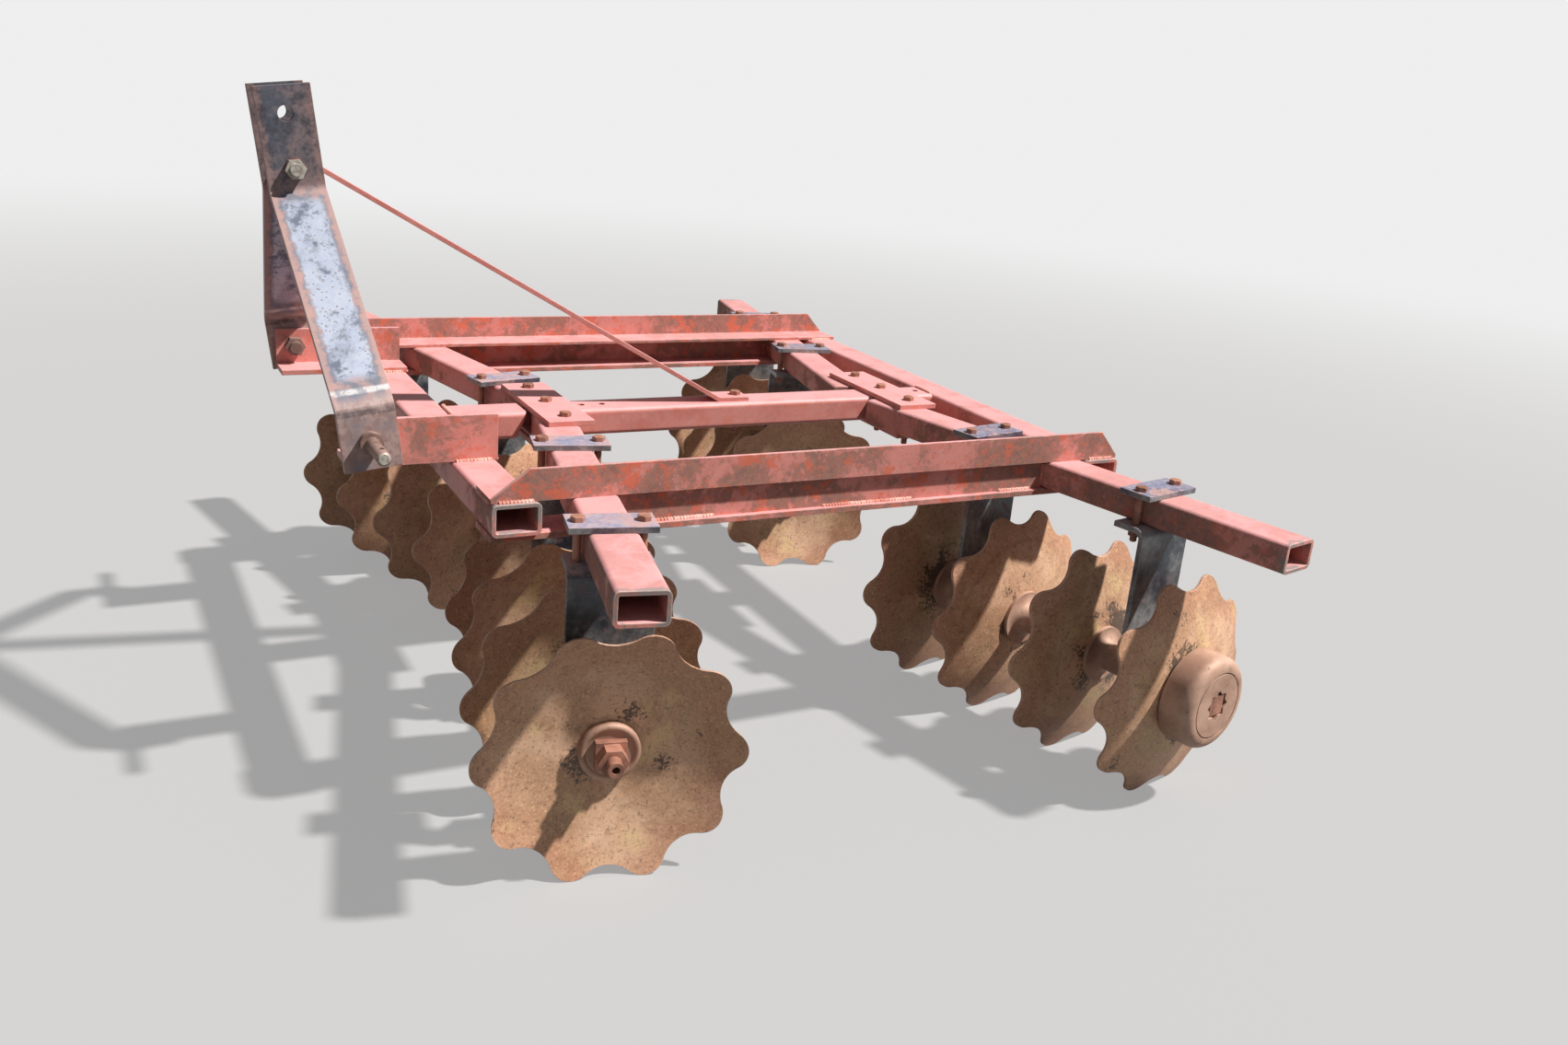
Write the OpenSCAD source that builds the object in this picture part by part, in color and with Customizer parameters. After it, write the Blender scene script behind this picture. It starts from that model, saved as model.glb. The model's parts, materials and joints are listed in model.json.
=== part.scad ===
// Tandem disc harrow for a three-point hitch: a frame of tubes and angle iron,
// four gangs of notched dished discs on hangers, and a bolted mast.
// +X points forward, +Y to the left, +Z up, and the discs stand on Z = 0.

/* [Frame] */
// Width of every rectangular tube
tube_w = 76.2; // [60:0.1:90]
// Height of every rectangular tube
tube_h = 50.8; // [45:0.1:60]
// Wall of every rectangular tube
tube_wall = 6.35; // [4:0.05:8]
// Outer corner radius of the tubes
tube_corner = 9; // [8.5:0.5:12]
// Width across the ends of the cross tubes
frame_w = 1158; // [1130:1:1200]
// Distance between the centrelines of the cross tubes
frame_l = 1114; // [1090:1:1140]
// Height of the rail angle's standing leg
angle_leg = 50.8; // [40:0.1:60]
// Width of the rail angle's flat leg
angle_flat = 76.2; // [60:0.1:80]
// Thickness of the rail angle
angle_t = 6.35; // [5:0.05:8]
// Distance of the rails in from the cross tube ends
rail_inset = 8; // [4:1:12]
// Length of the slanted cut at the front of the standing leg
cut_front = 60; // [40:1:80]
// Length of the slanted cut at the rear of the standing leg
cut_rear = 41; // [20:1:60]
// Width of the flat bar under the rail
flat_w = 76.2; // [60:0.1:80]
// Thickness of the flat bar under the rail
flat_t = 9.5; // [6:0.5:12]
// Thickness of the upright plate between angle and flat bar
web_t = 6.35; // [4:0.05:10]
// Distance of the upright plate in from the rail's outer face
web_inset = 11; // [6:1:20]

/* [Gangs] */
// Angle of each gang from straight across
gang_angle = 11.3; // [10.5:0.1:12]
// Front gangs' centre behind the front cross tube
front_gang_back = 239; // [230:1:250]
// Gap between a rear gang tube and the end of the rear cross tube
rear_gang_gap = 1.4; // [0.4:0.2:6]
// How far a front gang tube runs out past the rail, along the tube
front_tube_out = 394; // [369:1:449]
// How far a rear gang tube runs out past the rail, along the tube
rear_tube_out = 491; // [469:1:559]
// Depth of the axles below the tube tops
axle_drop = 325; // [318:1:332]
// Distance between discs along an axle
disc_pitch = 190.5; // [186:0.5:195]
// How far the innermost front left disc stands in from the rail, along the axle
front_disc_in = 370.5; // [365:0.5:375]
// How far the innermost rear discs stand in from the rail, along the axle
rear_disc_in = 229; // [221:0.5:235]
// How far the front right discs stand nearer the centre than the left ones
right_shift = 85; // [70:1:88]

/* [Discs] */
// Diameter of a disc over its lobes
disc_d = 406.4; // [390:0.1:412]
// Thickness of a disc
disc_t = 4.5; // [3:0.1:6]
// Radius of the sphere that a disc is pressed to
dish_r = 495; // [470:5:540]
// Diameter of the flat at a disc's centre
disc_flat_d = 112; // [110:1:120]
// Number of lobes round a disc
lobes = 10; // [9:1:11]
// Depth of the notches between the lobes
notch_depth = 25; // [20:0.5:28]
// Radius of the lobes' rounded tips
lobe_r = 34; // [30:0.5:38]

/* [Axles] */
// Side of the square axle bolt
axle_side = 25.4; // [22:0.1:26]
// Width of the axle nuts across their flats
axle_nut = 40; // [36:1:44]
// Height of the axle nuts
axle_nut_h = 22; // [18:1:26]
// Side of the square lock plate under an axle nut
lock_side = 46; // [42:1:48]
// Thickness of the lock plate
lock_t = 9; // [6:0.5:11]
// Diameter of the threaded stud beyond the nut
stud_d = 24; // [20:0.5:26]
// Length of the stud beyond the nut
stud_l = 20; // [12:1:26]
// Diameter of the hollow in the stud's end
stud_hollow_d = 12; // [8:0.5:14]
// Depth of the hollow in the stud's end
stud_hollow_l = 14; // [8:1:18]
// Side of the square bolt head in the bumper
bumper_head = 36; // [32:1:38]
// Depth of the bolt head in the bumper's face
bumper_head_t = 10; // [6:1:14]
// Side of the notched hole round that head
bumper_hole = 40; // [39:0.5:44]
// Clearance round the axle bolt in the discs and spools
axle_gap = 0.4; // [0.2:0.1:0.6]
// Diameter of a spool's waist
spool_d = 50; // [47:1:54]
// Diameter of a spool's flared end
flare_d = 104; // [96:1:108]
// Thickness of a spool's flared end at its rim
flare_t = 7; // [5:0.5:9]
// Radius of the hollow between flare and waist
flare_r = 22; // [16:1:26]
// Diameter of the journals in the bearings
journal_d = 52; // [50:0.5:56]
// Clearance round a journal in its bearing
journal_gap = 0.1; // [0.05:0.01:0.3]
// Diameter of the bumper at the rear gangs' outer ends
bumper_d = 168; // [150:1:180]
// Length of the bumper along the axle
bumper_l = 58; // [45:1:62]
// Diameter of the round plate set into the bumper
bumper_plate_d = 116; // [100:1:125]
// Distance of the bolt head below the bumper's face
bumper_head_sink = 2; // [1:0.5:4]
// Radius of the bumper's rounded edge
bumper_round = 20; // [12:1:24]
// Width of the groove round the bumper's plate
groove_w = 2.5; // [1.5:0.5:4]
// Depth of the groove round the bumper's plate
groove_t = 3; // [2:0.5:5]
// Diameter of the washer at a gang's end
washer_d = 93; // [80:1:100]
// Thickness of the washer at a gang's end
washer_t = 16; // [13:1:20]
// Radius of the washer's rounded crest
crest_r = 5.5; // [4:0.5:6]
// Depth of the washer's face within its crest
crest_t = 3; // [1:0.5:4]

/* [Hangers and bearings] */
// Width of a hanger's plate
hanger_w = 130; // [120:1:136]
// Thickness of a hanger's plate
hanger_t = 9.5; // [8:0.5:12]
// Radius of a hanger's bends, at mid thickness
hanger_bend = 14; // [12:1:18]
// Length of a hanger's top flange
hanger_top_l = 63; // [55:1:66]
// Length of a hanger's foot
hanger_foot_l = 62; // [55:1:66]
// Width of the foot's end
hanger_foot_w = 104; // [98:1:110]
// Size of the cut corners at the foot's end
foot_corner = 14; // [8:1:18]
// Distance between the two bolts of a foot
foot_bolts = 70; // [64:1:74]
// Outer front hangers' face outboard of the middle of their gap between discs
front_web_out = 71; // [66:1:73]
// Inner left front hanger's face outboard of the middle of its gap
left_web_out = 37; // [30:1:42]
// Inner right front hanger's face inboard of the middle of its gap
right_web_in = 5; // [0:1:8]
// Inner rear hangers' face inboard of the middle of their gap
rear_web_in = 19; // [12:1:26]
// Outer rear hangers' face inboard of the middle of their gap
rear_outer_web_in = 3; // [0:1:8]
// Diameter of a bearing housing
housing_d = 90; // [84:1:94]
// Length of a bearing housing
housing_l = 80; // [70:1:86]
// Width of the raised ring at each end of a housing
housing_ring = 14; // [10:1:18]
// Depth of the housing's waist between its rings
housing_waist = 4; // [2:0.5:6]
// Height of the housing's bolting face over the axle
housing_pad_h = 52; // [50:1:58]
// Thickness of the housing's bolting pad
housing_pad_t = 14; // [10:1:16]
// Depth of the tapped holes in the bolting pad
housing_tap = 25; // [18:1:26]
// Distance of a front housing's outer end beyond its hanger's inner face
front_housing_out = 14; // [8:1:16]
// Distance of a rear housing's inner end beyond its hanger's outer face
rear_housing_in = 12; // [8:1:16]
// Running gap between a housing's ends and the spools
end_gap = 1.5; // [1:0.1:3]
// Length of a clamp plate, across the tube
clamp_l = 130; // [124:1:140]
// Width of a clamp plate
clamp_w = 63; // [55:1:66]
// Thickness of a clamp plate
clamp_t = 9.5; // [8:0.5:12]
// Distance between the two bolts of a clamp
clamp_bolts = 96; // [93:1:100]
// Diameter of the clamp bolts' holes
bolt_hole = 14.3; // [13:0.1:16]

/* [Centre] */
// How far the joints and the tubes between them stand left of the middle
joint_y = 32; // [28:1:38]
// Length of the joint plates over and under the gang tubes
joint_l = 292; // [284:1:300]
// Width of the joint plates
joint_w = 86; // [80:1:94]
// Thickness of the joint plates
joint_t = 9.5; // [8:0.5:12]
// Distance between the joint plates' bolts
joint_bolts = 109; // [100:1:115]
// Front joint plates' middle ahead of the front gangs' centre
front_joint_ahead = 14; // [10:1:18]
// Rear joint plates' middle behind the rear gangs' centre
rear_joint_back = 47; // [42:1:52]
// How much shorter the centre and stub tubes are below than on top
tube_bevel = 20; // [10:1:25]
// Gap between tube ends at the joints
joint_gap = 5; // [3:0.5:8]
// Distance of the first spare hole behind the front joint plates
spare_hole_back = 26; // [22:1:32]
// Distance between the two spare holes
spare_hole_step = 41; // [36:1:46]
// Distance of the hole in the rear stub tube ahead of the rear cross tube
stub_hole_ahead = 22; // [16:1:28]

/* [Hitch] */
// Leg of the hitch bracket's angle
bracket_leg = 76.2; // [70:0.1:80]
// Thickness of the hitch bracket's angle
bracket_t = 9.5; // [8:0.5:10]
// Reach of the brackets ahead of the front cross tube's centreline
bracket_front = 200; // [190:1:215]
// Distance between the brackets' outer faces
bracket_span = 701; // [690:1:715]
// Lower pins ahead of the front cross tube's centreline
pin_x = 166; // [160:1:172]
// Height of the lower pins over the tube tops
pin_z = 44; // [40:1:48]
// Diameter of the lower pins
pin_d = 22; // [21:0.1:23]
// Length of a lower pin beyond its collar
pin_l = 84; // [70:1:95]
// Diameter of a lower pin's collar
collar_d = 36; // [32:1:40]
// Length of a lower pin's collar
collar_l = 14; // [10:1:18]
// Size across the flats of a lower pin's nut
pin_nut = 33; // [30:1:36]
// Height of a lower pin's nut
pin_nut_h = 18; // [14:1:20]
// Length of a lower pin's thread beyond its nut
pin_tail = 8; // [4:1:12]
// Diameter of the linchpin's hole
linch_hole = 11; // [9:0.5:12]
// Distance of the linchpin's hole from the pin's end
linch_back = 24; // [18:1:28]
// Chamfer at a lower pin's end
pin_chamfer = 3; // [1:0.5:4]
// Clearance of the pins and the mast bolt in their holes
pin_play = 0.6; // [0.4:0.1:1]
// Width of the mast bars
mast_w = 89; // [80:1:95]
// Thickness of the mast bars
mast_t = 12.7; // [10:0.1:13]
// Height of the top link hole over the lower pins
mast_h = 464; // [455:1:475]
// Lean of the mast
mast_lean = 7.3; // [6:0.1:8.5]
// Clear gap between the mast bars at the top
mast_gap = 56; // [50:1:60]
// Height of the mast bars' upper bend over the lower pins
upper_bend_z = 340; // [330:1:346]
// Height of the mast bars' lower bend over the lower pins
lower_bend_z = 52; // [45:1:60]
// Height of the mast bolt over the lower pins
mast_bolt_z = 377; // [372:1:384]
// Diameter of the mast bolt
mast_bolt_d = 20; // [18:0.5:22]
// Size across the flats of the mast bolt's nuts
mast_nut = 30; // [27:1:33]
// Height of the mast bolt's nuts
mast_nut_h = 14; // [12:1:18]
// Length of the mast bolt beyond its nuts
mast_tail = 8; // [4:1:12]
// Diameter of the sleeve between the mast bars
sleeve_d = 34; // [30:1:38]
// Diameter of the top link hole
link_hole = 25.5; // [25:0.1:26]
// Gap on each side of the brace between the mast bars
brace_play = 2.6; // [2:0.1:6]
// Gap between the brace's lower edge and the mast bolt's sleeve
sleeve_gap = 0.3; // [0.2:0.1:0.8]
// Thickness of the brace
brace_t = 8; // [6:0.5:9.5]
// Brace's end beyond its foot's bolt
brace_end = 20; // [18:1:26]
// Brace's bend ahead of its foot's bolt
brace_bend = 44; // [38:1:50]
// Brace's reach past the sleeve
brace_reach = 14; // [8:1:18]
// Brace foot's bolt behind the front cross tube's centreline
brace_foot_back = 620; // [590:1:640]

/* [Hidden] */
$fn = 96;
bend_step = 10;
// How far a notch's circle laps the circles of the lobes beside it
tangent_lap = 0.1;
disc_count = 4;
disc_r = disc_d / 2;
lobe_step = 360 / lobes;
axle_z = (disc_r - lobe_r) * cos(lobe_step / 2) + lobe_r;
tube_top = axle_z + axle_drop;
tube_bottom = tube_top - tube_h;

// Dish of a disc, from its flat to its rim
function sag(r) = dish_r - sqrt(dish_r * dish_r - r * r);
dish = sag(disc_r) - sag(disc_flat_d / 2);

// The gangs' reach follows the rails
rail_y = frame_w / 2 - rail_inset;
front_tube_l = rail_y + front_tube_out;
rear_tube_l = rail_y + rear_tube_out;
front_disc_y = rail_y - front_disc_in;
rear_disc_y = rail_y - rear_disc_in;

// The frame stands so that the whole harrow is centred on the origin
rear_gang_ahead = tube_w / 2 + tube_w / 2 / cos(gang_angle) + tan(gang_angle) * frame_w / 2 + rear_gang_gap;
rear_gang_back = frame_l - rear_gang_ahead;
rear_last = rear_disc_y + (disc_count - 1) * disc_pitch;
front_reach = pin_x + sin(mast_lean) * (mast_h + mast_w / 2) + cos(mast_lean) * mast_w / 2;
rear_reach = rear_gang_back + sin(gang_angle) * (rear_last - dish) + cos(gang_angle) * disc_r;
front_x = (rear_reach - front_reach) / 2;
rear_x = front_x - frame_l;
front_gang_x = front_x - front_gang_back;
rear_gang_x = front_x - rear_gang_back;

// Places along a gang, measured outboard from the centreline
function first_disc(front, left) = front ? front_disc_y - (left ? 0 : right_shift) : rear_disc_y;
function last_disc(front, left) = first_disc(front, left) + (disc_count - 1) * disc_pitch;
function gap_middle(front, left, gap) = first_disc(front, left) + (gap + 0.5) * disc_pitch + disc_t / 2;

// Gaps between discs that hold a bearing, counted from the centreline, and their hangers' outer faces
bearing_gaps = [0, 2];
function web_out(front, left, gap) =
    front && gap > 0 ? front_web_out
    : front && left ? left_web_out
    : front ? -right_web_in
    : gap > 0 ? -rear_outer_web_in
    : -rear_web_in;
function web_at(front, left, gap) = gap_middle(front, left, gap) + web_out(front, left, gap);
function bearing_at(front, left, gap) = front
    ? web_at(front, left, gap) - hanger_t - housing_l / 2 + front_housing_out
    : web_at(front, left, gap) + housing_l / 2 - rear_housing_in;

red = [0.66, 0.29, 0.27];
black = [0.16, 0.17, 0.19];
rust = [0.46, 0.29, 0.19];
scale_grey = [0.45, 0.48, 0.52];

// Mirrors what is drawn on the left to the right side
module side(left) {
    if (left) children();
    else mirror([0, 1, 0]) children();
}

// Gang frame: +Y runs outboard along the axle, the origin is on the centreline
module at_gang(front, left) {
    side(left)
        translate([front ? front_gang_x : rear_gang_x, 0, 0])
            rotate([0, 0, front ? -gang_angle : gang_angle])
                children();
}

// Rounded rectangle, centred
module rounded(w, h, r) {
    square([w - 2 * r, h], center = true);
    square([w, h - 2 * r], center = true);
    for (x = [-1, 1], y = [-1, 1])
        translate([x * (w / 2 - r), y * (h / 2 - r)]) circle(r);
}

// Section of the rectangular tube, width along X and height along Y
module tube_section() {
    difference() {
        rounded(tube_w, tube_h, tube_corner);
        rounded(tube_w - 2 * tube_wall, tube_h - 2 * tube_wall, tube_corner - tube_wall);
    }
}

// Tube along +Y from y0 to y1, its top at the tube tops
module tube_along_y(y0, y1) {
    translate([0, y1, tube_top - tube_h / 2])
        rotate([90, 0, 0])
            linear_extrude(y1 - y0) tube_section();
}

module front_cross_tube() {
    color(red) translate([front_x, 0, 0]) tube_along_y(-frame_w / 2, frame_w / 2);
}

module rear_cross_tube() {
    color(red) translate([rear_x, 0, 0]) tube_along_y(-frame_w / 2, frame_w / 2);
}

rail_front = front_x + tube_w / 2;
rail_rear = rear_x - tube_w / 2;

// Rail angle: flat leg inboard on the tubes, standing leg cut on a slant at both ends
module rail_angle(left) {
    color(red) side(left) {
        translate([rail_rear, rail_y - angle_flat, tube_top])
            cube([rail_front - rail_rear, angle_flat, angle_t]);
        translate([0, rail_y, tube_top]) rotate([90, 0, 0]) linear_extrude(angle_t)
            polygon([
                [rail_rear, 0], [rail_front, 0], [rail_front, angle_t],
                [rail_front - cut_front, angle_leg], [rail_rear + cut_rear, angle_leg],
                [rail_rear, angle_t]
            ]);
    }
}

module rail_flat(left) {
    color(red) side(left)
        translate([rail_rear, rail_y - flat_w, tube_bottom - flat_t])
            cube([rail_front - rail_rear, flat_w, flat_t]);
}

// Point of a gang tube's face where it crosses a given Y
function tube_face_x(gang_x, angle, y, forward) =
    gang_x + tan(angle) * y + forward * tube_w / 2 / cos(angle);

// Upright plate between the gang tubes, its ends cut along the tubes' faces
module rail_web(left) {
    y1 = rail_y - web_inset;
    y0 = y1 - web_t;
    color(red) side(left)
        translate([0, 0, tube_bottom]) linear_extrude(tube_h)
            polygon([
                [tube_face_x(front_gang_x, gang_angle, y0, -1), y0],
                [tube_face_x(front_gang_x, gang_angle, y1, -1), y1],
                [tube_face_x(rear_gang_x, -gang_angle, y1, 1), y1],
                [tube_face_x(rear_gang_x, -gang_angle, y0, 1), y0]
            ]);
}

// Inner end of a gang tube, cut square where it clears the tube between the joints
function gang_tube_start(left) =
    ((left ? joint_y : -joint_y) + tube_w / 2 + joint_gap + sin(gang_angle) * tube_w / 2) / cos(gang_angle);

module gang_tube(front, left) {
    color(red) at_gang(front, left)
        tube_along_y(gang_tube_start(left), front ? front_tube_l : rear_tube_l);
}

front_joint_x = front_gang_x + front_joint_ahead;
rear_joint_x = rear_gang_x - rear_joint_back;

// Tube on the joints' line from a rear end to a front end; a bevelled rear end is shorter below
module joint_line_tube(rear_end, front_end, bevelled) {
    difference() {
        translate([(front_end + rear_end) / 2, joint_y, 0]) rotate([0, 0, 90])
            tube_along_y(-(front_end - rear_end) / 2, (front_end - rear_end) / 2);
        if (bevelled)
            translate([rear_end, joint_y + tube_w, tube_top]) rotate([90, 0, 0]) linear_extrude(2 * tube_w)
                polygon([[-1, 0], [0, 0], [2 * tube_bevel, -2 * tube_h], [-1, -2 * tube_h]]);
    }
}

centre_rear_x = rear_joint_x + joint_w / 2 - joint_gap;

// Centre tube with two spare holes in its top
module centre_tube() {
    hole_x = front_joint_x - joint_w / 2 - spare_hole_back;
    color(red) difference() {
        joint_line_tube(centre_rear_x, front_joint_x + joint_w / 2 - joint_gap, true);
        for (x = [hole_x, hole_x - spare_hole_step])
            translate([x, joint_y, tube_top - 1.5 * tube_wall]) cylinder(d = bolt_hole, h = 3 * tube_wall);
    }
}

module front_stub_tube() {
    color(red) joint_line_tube(front_joint_x + joint_w / 2 + joint_gap, front_x - tube_w / 2, true);
}

// Short tube from the rear joint to the rear cross tube, with one hole in its top
module rear_tab() {
    front_end = rear_x + tube_w / 2;
    color(red) difference() {
        joint_line_tube(front_end, centre_rear_x - joint_gap, false);
        translate([front_end + stub_hole_ahead, joint_y, tube_top - 1.5 * tube_wall])
            cylinder(d = bolt_hole, h = 3 * tube_wall);
    }
}

// Joint plates over and under the tubes, each with a row of bolt holes
module joint_plates(front) {
    x = front ? front_joint_x : rear_joint_x;
    color(red) for (z = [tube_top, tube_bottom - joint_t])
        translate([x, joint_y, z]) difference() {
            translate([-joint_w / 2, -joint_l / 2, 0]) cube([joint_w, joint_l, joint_t]);
            for (y = [-1, 0, 1])
                translate([0, y * joint_bolts, -1]) cylinder(d = bolt_hole, h = joint_t + 2);
        }
}

module clamps(front, left) {
    color(black) at_gang(front, left)
        for (gap = bearing_gaps)
            translate([0, web_at(front, left, gap) - hanger_top_l / 2, tube_top])
                difference() {
                    translate([-clamp_l / 2, -clamp_w / 2, 0]) cube([clamp_l, clamp_w, clamp_t]);
                    for (x = [-1, 1])
                        translate([x * clamp_bolts / 2, 0, -1]) cylinder(d = bolt_hole, h = clamp_t + 2);
                }
}

// Bends of a strip through the points p: turning angle, heading and the length a bend takes
function turn(p, i) =
    let (u = p[i] - p[i - 1], v = p[i + 1] - p[i])
    atan2(u[0] * v[1] - u[1] * v[0], u[0] * v[0] + u[1] * v[1]);
function heading(p, i) = atan2(p[i + 1][1] - p[i][1], p[i + 1][0] - p[i][0]);
function ahead(a) = [cos(a), sin(a)];
function leftward(a) = [-sin(a), cos(a)];
function trim(p, i, r) = r * tan(abs(turn(p, i)) / 2);

// One side of the strip, shifted to the left by off, with round bends of radius r
function bend_side(p, i, r, off) =
    let (
        a = turn(p, i),
        h = heading(p, i - 1),
        centre = p[i] - trim(p, i, r) * ahead(h) + sign(a) * r * leftward(h),
        steps = ceil(abs(a) / bend_step)
    )
    [for (k = [0:steps]) centre - (sign(a) * r - off) * leftward(h + a * k / steps)];
function strip_side(p, r, off) =
    let (n = len(p) - 1)
    concat(
        [p[0] + off * leftward(heading(p, 0))],
        [for (i = [1:n - 1], q = bend_side(p, i, r, off)) q],
        [p[n] + off * leftward(heading(p, n - 1))]
    );
function reversed(q) = [for (i = [len(q) - 1:-1:0]) q[i]];

// Bent strip of thickness t in its own plane
module strip(p, t, r) {
    polygon(concat(strip_side(p, r, t / 2), reversed(strip_side(p, r, -t / 2))));
}

// Hanger: bolted flange under the tube, web down past the disc's edge, foot on the bearing
module hanger(front, web) {
    top = tube_bottom - hanger_t / 2;
    foot = axle_z + housing_pad_h + hanger_t / 2;
    mid = web - hanger_t / 2;
    way = front ? -1 : 1;
    difference() {
        translate([-hanger_w / 2, 0, 0]) rotate([90, 0, 90]) linear_extrude(hanger_w)
            strip([[web - hanger_top_l, top], [mid, top], [mid, foot], [mid + way * hanger_foot_l, foot]],
                hanger_t, hanger_bend);
        for (x = [-1, 1]) {
            translate([x * clamp_bolts / 2, web - hanger_top_l / 2, top - hanger_t])
                cylinder(d = bolt_hole, h = 2 * hanger_t);
            translate([0, mid, foot - hanger_t]) linear_extrude(2 * hanger_t)
                polygon([
                    [x * hanger_w, way * (hanger_bend + hanger_t)],
                    [x * hanger_w / 2, way * (hanger_bend + hanger_t)],
                    [x * hanger_foot_w / 2, way * (hanger_foot_l - foot_corner)],
                    [x * (hanger_foot_w / 2 - foot_corner), way * hanger_foot_l],
                    [x * (hanger_foot_w / 2 - foot_corner), way * 2 * hanger_foot_l],
                    [x * hanger_w, way * 2 * hanger_foot_l]
                ]);
            translate([x * foot_bolts / 2, foot_bolts_at(front, web), foot - hanger_t])
                cylinder(d = bolt_hole, h = 2 * hanger_t);
        }
    }
}

// Bolts of a foot, midway between the hanger's bend and the foot's end
function foot_bolts_at(front, web) =
    web - hanger_t / 2 + (front ? -1 : 1) * (hanger_foot_l + hanger_bend) / 2;

module hangers(front, left) {
    color(black) at_gang(front, left)
        for (gap = bearing_gaps) hanger(front, web_at(front, left, gap));
}

// Bearing housing: a barrel with a raised ring at each end and a tapped pad on top
module bearing(tap_y) {
    waist_d = housing_d - 2 * housing_waist;
    neck_l = housing_l - 2 * housing_ring;
    difference() {
        union() {
            rotate([90, 0, 0]) cylinder(d = waist_d, h = housing_l, center = true);
            for (y = [-1, 1])
                translate([0, y * (housing_l - housing_ring) / 2, 0]) rotate([90, 0, 0])
                    cylinder(d = housing_d, h = housing_ring, center = true);
            translate([-waist_d / 2, -neck_l / 2, 0]) cube([waist_d, neck_l, housing_pad_h]);
            translate([-housing_d / 2, -housing_l / 2, housing_pad_h - housing_pad_t])
                cube([housing_d, housing_l, housing_pad_t]);
        }
        rotate([90, 0, 0]) cylinder(d = journal_d + 2 * journal_gap, h = housing_l + 2, center = true);
        for (x = [-1, 1])
            translate([x * foot_bolts / 2, tap_y, housing_pad_h - housing_tap])
                cylinder(d = bolt_hole, h = housing_pad_h);
    }
}

module bearings(front, left) {
    color(black) at_gang(front, left)
        for (gap = bearing_gaps) {
            y = bearing_at(front, left, gap);
            translate([0, y, axle_z]) bearing(foot_bolts_at(front, web_at(front, left, gap)) - y);
        }
}

// Outline of a disc: round lobes that run into round notches
module disc_outline() {
    root = disc_r - notch_depth;
    lobe_c = disc_r - lobe_r;
    half = lobe_step / 2;
    notch_c = (lobe_c * lobe_c - pow(lobe_r - root, 2)) / 2 / (lobe_r - root + lobe_c * cos(half));
    notch_r = notch_c - root + tangent_lap;
    share = lobe_r / (lobe_r + notch_r);
    meet = [lobe_c + share * (notch_c * cos(half) - lobe_c), share * notch_c * sin(half)];
    meet_r = norm(meet);
    meet_a = atan2(meet[1], meet[0]);
    difference() {
        union() {
            polygon([for (i = [0:lobes - 1], s = [-1, 1])
                meet_r * [cos(i * lobe_step + s * meet_a), sin(i * lobe_step + s * meet_a)]]);
            for (i = [0:lobes - 1])
                rotate(i * lobe_step) translate([lobe_c, 0]) circle(lobe_r);
        }
        for (i = [0:lobes - 1])
            rotate((i + 0.5) * lobe_step) translate([notch_c, 0]) circle(notch_r);
    }
}

// One disc along +Y: its flat from 0 to disc_t, its rim towards +Y
module disc() {
    lift = dish_r - sag(disc_flat_d / 2);
    rotate([-90, 0, 0]) difference() {
        intersection() {
            translate([0, 0, lift]) sphere(dish_r, $fn = 180);
            rotate(90 + lobe_step / 2) linear_extrude(dish + 4 * disc_t) disc_outline();
        }
        intersection() {
            translate([0, 0, lift]) sphere(dish_r - disc_t, $fn = 180);
            translate([0, 0, disc_t]) cylinder(r = disc_d, h = disc_d);
        }
        cube([axle_side + 2 * axle_gap, axle_side + 2 * axle_gap, 4 * disc_t], center = true);
    }
}

module discs(front, left) {
    color(rust) at_gang(front, left)
        for (i = [0:disc_count - 1])
            translate([0, first_disc(front, left) + i * disc_pitch, axle_z])
                if (front) disc();
                else translate([0, disc_t, 0]) mirror([0, 1, 0]) disc();
}

bore_r = axle_side / sqrt(2) + axle_gap;

// Turns a flat profile of [radius, along] into a solid along +Y
module along_gang() {
    rotate([-90, 0, 0]) rotate_extrude() children();
}

// Flare of a spool: full width at 0, running by a hollow into the waist
module flare() {
    difference() {
        translate([bore_r, 0]) square([flare_d / 2 - bore_r, flare_t + flare_r]);
        translate([spool_d / 2 + flare_r, flare_t + flare_r]) circle(flare_r);
        translate([spool_d / 2 + flare_r, flare_t]) square([flare_d, flare_r + 1]);
    }
}

// Half spool between a disc face and the middle of a bearing
module half_spool(from, to) {
    reach = abs(to - from) - housing_l / 2 - end_gap;
    translate([0, from, 0]) mirror([0, to < from ? 1 : 0, 0]) along_gang() {
        if (reach > flare_t + flare_r) {
            flare();
            translate([bore_r, 0]) square([spool_d / 2 - bore_r, reach]);
        }
        else translate([bore_r, 0]) square([flare_d / 2 - bore_r, min(flare_t, reach)]);
        translate([bore_r, 0]) square([journal_d / 2 - bore_r, abs(to - from)]);
    }
}

module middle_spool() {
    l = disc_pitch - disc_t;
    along_gang() {
        flare();
        translate([0, l]) mirror([0, 1]) flare();
        translate([bore_r, 0]) square([spool_d / 2 - bore_r, l]);
    }
}

// Washer at the hollow side of a gang's last disc, with a rounded crest round its face
module end_washer() {
    crest = washer_d / 2 - crest_r;
    along_gang() {
        translate([bore_r, 0]) square([crest - bore_r, washer_t - crest_t]);
        translate([crest - crest_r, 0]) square([2 * crest_r, washer_t - crest_r]);
        translate([crest, washer_t - crest_r]) circle(crest_r);
    }
}

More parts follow.
